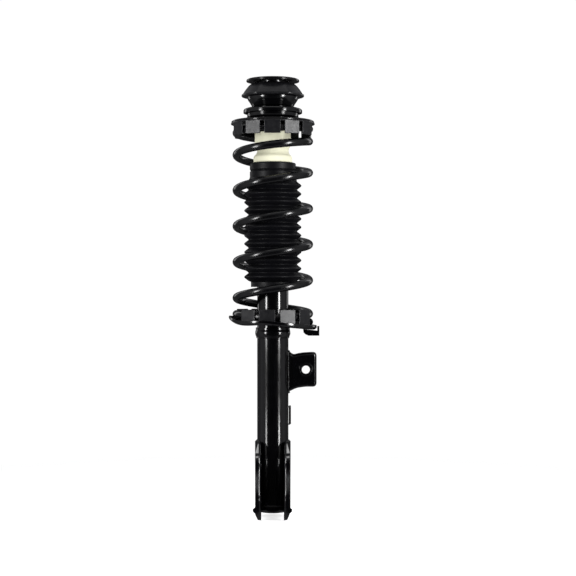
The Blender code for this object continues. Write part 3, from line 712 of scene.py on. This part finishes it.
def isolator(name, body, ring, lugs, foot, top, shift=None):
    """A rubber ring, with flat lugs standing round it, all their edges rounded."""
    mesh = bmesh.new()
    turn_into(mesh, softened(ring, 0.0006), shift=shift)
    for middle in lugs:
        add_lug(mesh, math.radians(middle), foot, top, LUG_INNER, LUG_OUTER)
    round_edges(add_piece(name, mesh, "rubber", body, (name,)), 0.0009, 60)


def make_upper_seat():
    pan = [
        (0.0388, -0.0465),
        (0.0410, -0.0465, 0.0006),
        (0.0410, -0.0540, 0.0020),
        (0.0440, -0.0574, 0.0030),
        (0.0560, -0.0588, 0.0040),
        (0.0640, -0.0600, 0.0020),
        (0.0662, -0.0614, 0.0010),
        (0.0662, -0.0630, 0.0003),
        (0.0475, -0.0630, 0.0010),
        (0.0415, -0.0573, 0.0010),
        (0.0380, -0.0558, 0.0006),
        (0.0200, -0.0558),
        (0.0200, -0.0533),
        (0.0388, -0.0533),
    ]
    turned("upper_spring_seat", pan, "gloss_black", "spring_seat", corner=0.0004)
    ring = [
        (0.0465, -0.0633),
        (0.0668, -0.0633, 0.0012),
        (0.0672, -0.0660, 0.0010),
        (0.0502, -0.0665, 0.0010),
        (0.0502, -0.0740),
        (0.0465, -0.0740),
    ]
    lugs = [turn - 90 + 27.7 * step for turn in (0, 180) for step in (-2, -1, 0, 1, 2)]
    isolator("upper_isolator", "spring_seat", ring, lugs, lambda x, y: -0.0856, -0.0642)


def make_lower_seat():
    def tilt(x, y):
        """The pan slopes down towards +X and hangs lower at its front left, more so nearer to its rim."""
        across = (math.degrees(math.atan2(y, x)) - PAN_DIP_MIDDLE + 180) % 360 - 180
        share = math.cos(math.pi / 2 * min(abs(across) / PAN_DIP_HALF, 1.0)) ** 2
        outward = max(0.0, (math.hypot(x, y) - PAN_DIP_START) / (rim - PAN_DIP_START))
        return -PAN_SLOPE * x - PAN_DIP * share * outward

    floor, sheet = PAN_FLOOR, 0.0023
    inner, rim = TUBE_RADIUS + GAP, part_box("lower_spring_seat")[1].x
    pan = [
        (inner, floor + 0.0060),
        (0.0278, floor + 0.0060, 0.0008),
        (0.0290, floor, 0.0010),
        (rim - 0.0026, floor, 0.0008),
        (rim - 0.0018, floor + 0.0050, 0.0004),
        (rim - 0.0002, floor + 0.0052, 0.0005),
        (rim, floor + 0.0010, 0.0014),
        (rim - 0.0036, floor - sheet, 0.0022),
        (inner, floor - sheet),
    ]
    turned("lower_spring_seat", pan, "gloss_black", "tube", shift=tilt, corner=0.0004)
    ring = [
        (0.0465, floor + GAP),
        (0.0676, floor + GAP, 0.0004),
        (0.0676, floor + 0.0018, 0.0006),
        (0.0502, floor + 0.0018, 0.0006),
        (0.0502, floor + 0.0095, 0.0006),
        (0.0465, floor + 0.0095, 0.0006),
    ]
    lugs = [turn - 83 + 28.5 * step for turn in (0, 180) for step in (-1.5, -0.5, 0.5, 1.5)]
    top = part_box("lower_isolator")[1].z
    isolator("lower_isolator", "tube", ring, lugs, lambda x, y: floor + 0.0008 + tilt(x, y), top, tilt)
    low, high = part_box("seat_collar")
    collar = [
        (inner, high.z),
        (0.0272, high.z, 0.0004),
        (0.0272, high.z - 0.0036, 0.0010),
        (0.0281, high.z - 0.0066, 0.0016),
        (0.0282, high.z - 0.0106, 0.0016),
        (0.0268, high.z - 0.0142, 0.0008),
        (0.0262, high.z - 0.0152, 0.0004),
        (0.0268, high.z - 0.0162, 0.0004),
        (0.0260, low.z, 0.0004),
        (inner, low.z),
    ]
    turned("seat_collar", collar, "gloss_black", "tube", corner=0.0003)


def make_bump_stop():
    low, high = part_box("bump_stop")
    stop = [
        (0.0116, high.z, 0.0010),
        (0.0190, high.z, 0.0008),
        (0.0210, -0.0512, 0.0006),
        (0.0210, -0.0529, 0.0004),
        (0.0196, -0.0529),
        (0.0196, -0.0562),
        (0.0270, -0.0562, 0.0010),
        (0.0288, -0.0640, 0.0030),
        (0.0290, -0.0990, 0.0050),
        (0.0256, -0.1050, 0.0040),
        (0.0250, -0.1088, 0.0030),
        (0.0262, -0.1128, 0.0040),
        (0.0306, -0.1172, 0.0040),
        (0.0310, -0.1215, 0.0030),
        (0.0306, low.z, 0.0020),
        (0.0116, low.z, 0.0010),
    ]
    turned("bump_stop", stop, "foam", "spring_seat")


def make_boot():
    """The bellows: a collar in two bands, thin folds, and a plain cuff, with an even wall."""
    wall, folds, pitch = 0.0012, 12, 0.01326
    collar, crest, root = 0.0368, 0.0460, 0.0385
    top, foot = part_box("dust_boot")[1].z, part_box("dust_boot")[0].z
    first = -0.1637
    outer = [
        (0.0240, top, 0.0003),
        (collar, top, 0.0022),
        (collar, -0.1384, 0.0010),
        (collar - 0.0016, -0.1400, 0.0004),
        (collar, -0.1416, 0.0010),
        (collar, -0.1512, 0.0012),
        (root - 0.0002, -0.1536, 0.0010),
        (root, first + pitch / 2, 0.0012),
    ]
    for fold in range(folds):
        middle = first - pitch * fold
        outer += [
            (crest - 0.0010, middle + 0.0016, 0.0012),
            (crest, middle, 0.0010),
            (crest - 0.0010, middle - 0.0016, 0.0012),
            (root, middle - pitch / 2, 0.0014),
        ]
    outer += [(0.0350, foot + 0.0082, 0.0008), (0.0350, foot, 0.0003)]
    inner = [(radius - wall * 1.3, height, *more) for radius, height, *more in reversed(outer[6:-1])]
    inner = [(0.0330, foot, 0.0003), (0.0330, foot + 0.0090, 0.0006)] + inner
    inner += [
        (collar - 0.0024, -0.1500, 0.0008),
        (collar - 0.0024, top - 0.0020, 0.0010),
        (0.0240, top - 0.0016, 0.0003),
    ]
    boot = turned("dust_boot", outer + inner, "boot_rubber", "spring_seat", sides=112)
    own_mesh(boot)


# ---------------- damper


def make_damper():
    bore = TUBE_RADIUS - 0.0023
    tube = [
        (bore, TUBE_TOP, 0.0004),
        (TUBE_RADIUS, TUBE_TOP, 0.0005),
        (TUBE_RADIUS, TUBE_FOOT, 0.0003),
        (bore, TUBE_FOOT, 0.0003),
    ]
    turned("reserve_tube", tube, "gloss_black", "tube")
    cap_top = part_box("tube_end_cap")[1].z
    cap = [
        (0, STRUT_FOOT + 0.0012),
        (0.0140, STRUT_FOOT + 0.0012, 0.0020),
        (0.0158, STRUT_FOOT, 0.0010),
        (0.0205, STRUT_FOOT, 0.0030),
        (0.0238, STRUT_FOOT + 0.0014, 0.0020),
        (TUBE_RADIUS, STRUT_FOOT + 0.0050, 0.0020),
        (TUBE_RADIUS, cap_top, 0.0006),
        (bore, cap_top, 0.0003),
        (bore, STRUT_FOOT + 0.0046, 0.0010),
        (0.0205, STRUT_FOOT + 0.0030, 0.0010),
        (0, STRUT_FOOT + 0.0030),
    ]
    turned("tube_end_cap", cap, "gloss_black", "tube")
    low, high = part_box("striker_cap")
    striker = [
        (0.0118, high.z, 0.0006),
        (0.0245, high.z, 0.0010),
        (high.x, high.z - 0.0022, 0.0012),
        (high.x, low.z, 0.0004),
        (TUBE_RADIUS + GAP, low.z, 0.0003),
        (TUBE_RADIUS + GAP, TUBE_TOP + GAP, 0.0006),
        (0.0118, TUBE_TOP + GAP, 0.0003),
    ]
    turned("striker_cap", striker, "steel", "tube")


# ---------------- sheet brackets


def along(points, radius):
    """An open path with its inner corners rounded, ends kept."""
    closed = [(*points[0][:2], 0.0)] + [(*p[:2], radius) for p in points[1:-1]] + [(*points[-1][:2], 0.0)]
    return softened(closed, 0.0, 5)


def beside(path, distance):
    """The open path moved to its left by `distance`."""
    path = [Vector(point) for point in path]
    result = []
    for index, point in enumerate(path):
        before, after = path[max(index - 1, 0)], path[min(index + 1, len(path) - 1)]
        steps = [s for s in (point - before, after - point) if s.length > 1e-9]
        normals = [Vector((-s.y, s.x)).normalized() for s in steps]
        mean = sum(normals, Vector((0, 0))) / len(normals)
        result.append(point + mean * (distance / mean.length_squared))
    return result


def fill_flat(mesh, outline, holes):
    """A flat face in the (u, v) plane with round holes in it."""
    edges = []
    for loop in (outline, *holes):
        corners = [mesh.verts.new((p[0], p[1], 0)) for p in loop]
        edges += [mesh.edges.new((corners[k - 1], corners[k])) for k in range(len(corners))]
    bmesh.ops.triangle_fill(mesh, edges=edges, use_beauty=True)


def sheet_piece(name, mesh, place, thickness, cuts=(), mirror=False):
    """Bends the flat (u, v, w) mesh into place on the tube and gives it a thickness and small round edges."""
    for u in cuts:
        everything = mesh.verts[:] + mesh.edges[:] + mesh.faces[:]
        bmesh.ops.bisect_plane(mesh, geom=everything, plane_co=(u, 0, 0), plane_no=(1, 0, 0))
    for vertex in mesh.verts:
        vertex.co = place(*vertex.co)
    bmesh.ops.remove_doubles(mesh, verts=mesh.verts, dist=0.00002)
    piece = add_piece(name, mesh, "gloss_black", "tube", (name,), sharp=55)
    if mirror:
        piece.modifiers.new("both_sides", "MIRROR").merge_threshold = 0.00005
    solid = piece.modifiers.new("sheet", "SOLIDIFY")
    solid.thickness = thickness
    solid.offset = 0
    return round_edges(piece, 0.0006, 60)


def inset_rim(rim, distance, rounding):
    """The flange's corners, moved in from the rim by `distance` and rounded less the further in they are."""
    return along(beside(rim, distance), max(rounding - 0.8 * distance, 0.0006))


def add_flange(mesh, rim, rounding, reach):
    """From the sheet's edge, BEND_RADIUS in from the rim, a round bend and a flange to w = reach(point)."""
    levels = []
    for step in range(7):
        tilt = math.pi / 2 * step / 6
        path = inset_rim(rim, BEND_RADIUS * (1 - math.sin(tilt)), rounding)
        levels.append([(point.x, point.y, BEND_RADIUS * (1 - math.cos(tilt))) for point in path])
    for step in range(1, 4):
        level = []
        for point in path:
            far = max(reach(point), BEND_RADIUS + 0.0004)
            level.append((point.x, point.y, BEND_RADIUS + (far - BEND_RADIUS) * step / 3))
        levels.append(level)
    rows = [[mesh.verts.new(spot) for spot in level] for level in levels]
    for low, high in zip(rows, rows[1:]):
        for k in range(len(low) - 1):
            mesh.faces.new((low[k], high[k], high[k + 1], low[k + 1]))


CLEVIS_TOP, CLEVIS_FOOT = -0.572, -0.682
CLEVIS_FRONT = [
    (-0.030, -0.574),
    (-0.048, -0.594),
    (-0.050, -0.615),
    (-0.066, -0.650),
    (-0.066, -0.674),
    (-0.056, -0.689),
]
CLEVIS_BOLTS = [(-0.036, -0.604), (-0.050, -0.660)]
CLEVIS_BOLT_RADIUS = 0.007
LIP_ROUNDING = 0.010
LIP_HALF_WIDTH, WING_HALF_WIDTH = 0.0270, 0.0314
WING_MIDDLE = -0.6735


def plan_path():
    """The clevis sheet's middle line in plan, from its flange's start to the back, with lengths along it."""
    middle = TUBE_RADIUS + GAP + CLEVIS_SHEET / 2
    start = math.acos(FLANGE_MIDDLE / middle)
    corner_y = -middle * math.sin(start)
    arc = [
        (middle * math.cos(a), middle * math.sin(a))
        for a in [-start + (math.pi / 2 + start) * step / 30 for step in range(31)]
    ]
    rounding = 0.0035
    lead = (FLANGE_MIDDLE, corner_y - 2 * rounding)
    knee = softened([(*lead, 0), (*arc[0], rounding), (*arc[3], 0)], 0.0, 6)[1:-1]
    path = [Vector(lead)] + knee + [Vector(p) for p in arc[3:]]
    lengths = [0.0]
    for before, here in zip(path, path[1:]):
        lengths.append(lengths[-1] + (here - before).length)
    return path, lengths


def make_clevis():
    """One half as a flat sheet with its lip, bent round the tube, then mirrored. u is y on the flange."""
    path, lengths = plan_path()
    flat_end = path[0].y

    def place(u, v, w):
        if u <= flat_end:
            return Vector((FLANGE_MIDDLE + w, u, v))
        run = min(u - flat_end, lengths[-1])
        index = next(k for k in range(1, len(lengths)) if lengths[k] >= run - 1e-9)
        share = (run - lengths[index - 1]) / (lengths[index] - lengths[index - 1])
        spot = path[index - 1].lerp(path[index], min(share, 1.0))
        if run >= lengths[-1] - 1e-7:
            spot.x = 0.0
        return Vector((spot.x, spot.y, v))

    edge = [(y + CLEVIS_SHEET / 2, z) for y, z in CLEVIS_FRONT]
    edge[-1] = (edge[-1][0] - 0.0012, edge[-1][1])
    sheet_edge = inset_rim(edge, BEND_RADIUS, LIP_ROUNDING)
    back = flat_end + lengths[-1]
    closing = along(
        [
            (-0.0475, -0.6916),
            (-0.0370, -0.6912),
            (-0.0320, CLEVIS_FOOT),
            (-0.0200, CLEVIS_FOOT),
        ],
        0.003,
    )
    closing += [Vector((back, CLEVIS_FOOT)), Vector((back, CLEVIS_TOP)), Vector((-0.0200, CLEVIS_TOP))]
    mesh = bmesh.new()
    holes = [circle(centre, CLEVIS_BOLT_RADIUS) for centre in CLEVIS_BOLTS]
    fill_flat(mesh, sheet_edge + closing, holes)
    lip_reach = LIP_HALF_WIDTH - FLANGE_MIDDLE

    def reach(point):
        """The lip fades in at its top, carries a small wing near its foot, and fades out below it."""
        fade_in = eased((-0.574 - point.y) / 0.008)
        wing = (WING_HALF_WIDTH - LIP_HALF_WIDTH) * eased(1 - abs(point.y - WING_MIDDLE) / 0.0052)
        fade_out = eased((point.y + 0.6905) / 0.0125)
        return BEND_RADIUS + (lip_reach - BEND_RADIUS) * min(fade_in, fade_out) + wing

    add_flange(mesh, edge, LIP_ROUNDING, reach)
    cuts = [flat_end + length for length in lengths[:-1]]
    return sheet_piece("clevis_bracket", mesh, place, CLEVIS_SHEET, cuts, mirror=True)


LINK_FACE, LINK_BACK = -0.006, 0.014
LINK_HOLE, LINK_HOLE_RADIUS = (0.0528, -0.4576), 0.0065
LINK_RIM = [
    (0.0235, -0.4938),
    (0.0285, -0.4915),
    (0.0380, -0.4870),
    (0.0520, -0.4850),
    (0.0700, -0.4850),
    (0.0700, -0.4300),
    (0.0600, -0.4300),
    (0.0450, -0.4310),
    (0.0330, -0.4338),
    (0.0270, -0.4295),
    (0.0235, -0.4280),
]


def make_link_bracket():
    """A shallow tray whose flange runs round three sides; its left edge follows the tube."""
    middle = LINK_FACE + BRACKET_SHEET / 2
    depth = LINK_BACK - middle

    def place(u, v, w):
        if u < TUBE_RADIUS + 0.0008:
            u = math.sqrt(max(0.0, (TUBE_RADIUS - 0.0006) ** 2 - (middle + w) ** 2))
        return Vector((u, middle + w, v))

    rim = beside(LINK_RIM, BRACKET_SHEET / 2)
    rounding = 0.0045
    mesh = bmesh.new()
    fill_flat(mesh, inset_rim(rim, BEND_RADIUS, rounding), [circle(LINK_HOLE, LINK_HOLE_RADIUS)])
    add_flange(mesh, rim, rounding, lambda point: depth)
    sheet_piece("link_bracket", mesh, place, BRACKET_SHEET)
    embossed = bmesh.new()
    ring = [
        (0.0090, 0.0),
        (0.0094, 0.0004),
        (0.0106, 0.0004),
        (0.0110, 0.0),
        (0.0106, -0.0004),
        (0.0094, -0.0004),
    ]
    turn_into(embossed, softened(ring, 0.0003), 64)
    for vertex in embossed.verts:
        x, y, z = vertex.co
        vertex.co = (x + LINK_HOLE[0], LINK_FACE + 0.0001 + z, y + LINK_HOLE[1])
    add_piece("link_hole_ring", embossed, "gloss_black", "tube")


HOSE_HOLE, HOSE_HOLE_RADIUS = (0.026, -0.5312), 0.0055


def make_hose_bracket():
    """A flat tab on the tube's right side, with rounded corners and a bolt hole."""
    low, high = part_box("hose_bracket")
    middle = (low.x + high.x) / 2
    corners = [
        (-0.004, low.z, 0.002),
        (high.y, low.z, 0.007),
        (high.y, high.z, 0.007),
        (-0.004, high.z, 0.002),
    ]
    mesh = bmesh.new()
    fill_flat(mesh, softened(corners, 0.0, 6), [circle(HOSE_HOLE, HOSE_HOLE_RADIUS)])
    sheet_piece("hose_bracket", mesh, lambda u, v, w: Vector((middle, u, v)), high.x - low.x)


def make_wire_bracket():
    """The small bent tab: the frame's own shape, with its edges rounded."""
    mesh = bmesh.new()
    mesh.from_mesh(frame["nodes"]["wire_bracket"].data)
    bmesh.ops.remove_doubles(mesh, verts=mesh.verts, dist=0.00001)
    bmesh.ops.dissolve_limit(mesh, angle_limit=math.radians(1), verts=mesh.verts, edges=mesh.edges)
    round_edges(add_piece("wire_bracket", mesh, "gloss_black", "tube", ("wire_bracket",)), 0.0009, 35)


BEAD_STEP = 0.0004


def weld_bead(name, points, radius, closed=False):
    """A weld bead along the points, in overlapping ripples."""
    sides, ripple = 12, 0.0016
    mesh = bmesh.new()
    rings, run = [], 0.0
    count = len(points)
    for index, here in enumerate(points):
        before = points[index - 1] if closed or index else here
        after = points[(index + 1) % count] if closed or index < count - 1 else here
        run += (here - before).length if index else 0.0
        forward = (after - before).normalized()
        side = forward.cross(Vector((here.x, here.y, 0)).normalized()).normalized()
        out = side.cross(forward)
        taper = 1.0 if closed else min(1.0, 0.35 + 4 * min(index, count - 1 - index) / count)
        swell = radius * taper * (1 + 0.10 * math.sin(math.tau * run / ripple))
        ring = []
        for k in range(sides):
            angle = math.tau * k / sides
            ring.append(mesh.verts.new(here + swell * (math.cos(angle) * out + math.sin(angle) * side)))
        rings.append(ring)
    skin(mesh, rings, closed)
    if not closed:
        mesh.faces.new(reversed(rings[0]))
        mesh.faces.new(rings[-1])
    return add_piece(name, mesh, "gloss_black", "tube", sharp=80)


def straight(start, end):
    start, end = Vector(start), Vector(end)
    count = max(2, round((end - start).length / BEAD_STEP))
    return [start.lerp(end, index / count) for index in range(count + 1)]


def round_tube(height, radius, start, end):
    """Points at one height round the tube, angles in degrees."""
    count = round(math.radians(abs(end - start)) * radius / BEAD_STEP)
    angles = [math.radians(start + (end - start) * index / count) for index in range(count + 1)]
    return [Vector((radius * math.cos(a), radius * math.sin(a), height)) for a in angles]


def make_welds():
    beads = (
        ("link_weld_front", (0.0247, -0.0070, -0.4290), (0.0247, -0.0070, -0.4925), 0.0016),
        ("link_weld_top", (0.0262, -0.0040, -0.4284), (0.0240, 0.0120, -0.4284), 0.0017),
        ("link_weld_foot", (0.0262, -0.0040, -0.4938), (0.0240, 0.0120, -0.4938), 0.0017),
        ("hose_weld_top", (0.0262, -0.0030, -0.5176), (0.0262, 0.0050, -0.5176), 0.0012),
        ("hose_weld_foot", (0.0262, -0.0030, -0.5448), (0.0262, 0.0050, -0.5448), 0.0012),
    )
    for name, start, end, radius in beads:
        weld_bead(name, straight(start, end), radius)
    weld_bead("clevis_weld", round_tube(CLEVIS_TOP + 0.0004, TUBE_RADIUS + 0.0008, -38, 218), 0.0015)
    ring = round_tube(TUBE_FOOT - GAP / 2, TUBE_RADIUS - 0.0004, 0, 360)[:-1]
    weld_bead("end_cap_weld", ring, 0.0010, closed=True)


# ---------------- stage


def make_floor():
    """A pale round floor that fades to the white surroundings at its rim."""
    mesh = bmesh.new()
    bmesh.ops.create_circle(mesh, cap_ends=True, segments=128, radius=0.9)
    data = mesh_data("floor", mesh)
    floor = add_object("floor", data)
    floor.location.z = OBJECT_FOOT - 0.0005
    floor.visible_glossy = False
    material = bpy.data.materials.new("floor")
    material.use_nodes = True
    nodes = Nodes(material.node_tree)
    matte = nodes.feed(
        material.node_tree.nodes["Principled BSDF"],
        {
            "Base Color": (0.88, 0.88, 0.88, 1),
            "Roughness": 0.9,
            "Specular IOR Level": 0.0,
            "Emission Color": (1, 1, 1, 1),
            "Emission Strength": SURROUND,
        },
    )
    white = nodes.add("ShaderNodeEmission")
    place = nodes.add("ShaderNodeTexCoord").outputs["Object"]
    length = nodes.add("ShaderNodeVectorMath", {0: place}, operation="LENGTH").outputs["Value"]
    fade = nodes.smooth_step(length, 0.30, 0.85)
    mix = nodes.add("ShaderNodeMixShader", {0: fade, 1: matte.outputs[0], 2: white.outputs[0]})
    nodes.feed(material.node_tree.nodes["Material Output"], {"Surface": mix.outputs[0]})
    data.materials.append(material)


def brightness_along(nodes, component, stops):
    """A grey level along one component of the direction: -1 to 1 there is 0 to 1 in the stops."""
    towards = nodes.add("ShaderNodeMapRange", {"Value": component, "From Min": -1.0})
    ramp = nodes.add("ShaderNodeValToRGB", {"Fac": towards.outputs["Result"]})
    elements = ramp.color_ramp.elements
    for index, (spot, value) in enumerate(stops):
        element = elements[index] if index < 2 else elements.new(spot)
        element.position = spot
        element.color = (value, value, value * 1.04, 1)
    return ramp.outputs["Color"]


def make_world():
    """White to look at, soft light for matt surfaces, and a dim studio, brighter at its sides, to reflect."""
    world = bpy.data.worlds.new("studio")
    bpy.context.scene.world = world
    world.use_nodes = True
    nodes = Nodes(world.node_tree)
    look = {"Color": (1, 1, 1, 1), "Strength": 1.02}
    background = nodes.feed(world.node_tree.nodes["Background"], look)
    matt = nodes.add("ShaderNodeBackground", {"Strength": SURROUND})
    direction = nodes.add("ShaderNodeTexCoord").outputs["Generated"]
    place = nodes.add("ShaderNodeSeparateXYZ", {0: direction})
    level = [(0.0, 0.01), (0.14, 0.02), (0.30, 0.30), (0.50, 0.34), (0.72, 0.12), (1.0, 0.05)]
    raised = [(0.0, 0.0), (0.62, 0.10), (0.80, 0.34), (0.92, 0.30), (0.97, 0.10)]
    glow = nodes.add("ShaderNodeMix", data_type="RGBA")
    nodes.feed(
        glow,
        {
            "Factor": nodes.smooth_step(place.outputs["Z"], 0.25, 0.60),
            "A": brightness_along(nodes, place.outputs["Y"], level),
            "B": brightness_along(nodes, place.outputs["Z"], raised),
        },
    )
    mirror = nodes.add("ShaderNodeBackground", {"Color": glow.outputs["Result"]})
    ray = nodes.add("ShaderNodeLightPath").outputs

    def either(share, first, second):
        return nodes.add("ShaderNodeMixShader", {0: share, 1: first.outputs[0], 2: second.outputs[0]})

    by_gloss = either(ray["Is Glossy Ray"], matt, mirror)
    seen = either(ray["Is Camera Ray"], by_gloss, background)
    nodes.feed(world.node_tree.nodes["World Output"], {"Surface": seen.outputs[0]})


def add_softbox(name, place, target, width, height, power):
    data = bpy.data.lights.new(name, "AREA")
    data.shape = "RECTANGLE"
    data.size = width
    data.size_y = height
    data.energy = power
    lamp = add_object(name, data)
    lamp.location = place
    lamp.rotation_mode = "QUATERNION"
    lamp.rotation_quaternion = (Vector(target) - Vector(place)).to_track_quat("-Z", "Y")
    lamp.visible_camera = False
    return lamp


# Each band's lowest and highest height, and its radiance.
SOFTBOX_BANDS = [
    (-0.69, -0.640, 24.0),
    (-0.640, -0.61, 6.0),
    (-0.61, -0.49, 0.2),
    (-0.49, -0.46, 1.0),
    (-0.46, -0.43, 7.0),
    (-0.43, 0.06, 28.0),
    (0.06, 0.50, 5.0),
]


def make_lights(clevis):
    """A narrow softbox in bands ahead on each side, dim ones behind and above, two for the clevis alone."""
    reach, turn, width = 1.05, math.radians(48), 0.17
    for name, side, share in (("left", -1, 0.85), ("right", 1, 1.2)):
        for index, (low, high, radiance) in enumerate(SOFTBOX_BANDS):
            middle = (low + high) / 2
            place = (side * reach * math.sin(turn), -reach * math.cos(turn), middle)
            power = share * radiance * math.pi * width * (high - low)
            add_softbox(f"softbox_{name}_{index}", place, (0, 0, middle), width, high - low, power)
    for name, side in (("back_left", -1), ("back_right", 1)):
        place = (side * 0.95, 0.95, 0.10)
        add_softbox(name, place, (0, 0, -0.30), 0.30, 1.10, 1.6)
    add_softbox("overhead", (0.0, -0.2, 1.5), (0, 0, -0.3), 1.2, 1.2, 3.5)
    lamps = [
        add_softbox("lip_light_low", (0.0, -0.78, 0.20), (0, -0.055, -0.63), 0.5, 0.16, 1.7),
        add_softbox("lip_light_high", (0.0, -0.26, 0.60), (0, -0.04, -0.585), 0.5, 0.30, 3.4),
    ]
    lit = bpy.data.collections.new("lit_by_lip_lights")
    lit.objects.link(clevis)
    for lamp in lamps:
        lamp.light_linking.receiver_collection = lit


def make_camera():
    """Level, before the strut's middle, a little to the right of its axis."""
    distance, right, height = 2.4, 0.0243, -0.3272
    data = bpy.data.cameras.new("camera")
    data.sensor_width = 36.0
    data.lens = 93.75
    camera = add_object("camera", data)
    camera.location = (right, -distance, height)
    camera.rotation_euler = (math.pi / 2, 0, 0)
    bpy.context.scene.camera = camera


# ---------------- the whole strut

bpy.context.scene.view_settings.view_transform = "Standard"
for leftover in [o for o in bpy.data.objects if o.name in ("Cube", "Light", "Camera")]:
    bpy.data.objects.remove(leftover)

dress_cad_nodes()
make_dome()
make_mount_metal()
make_cap()
make_nut()
make_rod()
make_spring()
make_upper_seat()
make_lower_seat()
make_bump_stop()
make_boot()
make_damper()
clevis = make_clevis()
make_link_bracket()
make_hose_bracket()
make_wire_bracket()
make_welds()
make_floor()
make_world()
make_lights(clevis)
make_camera()
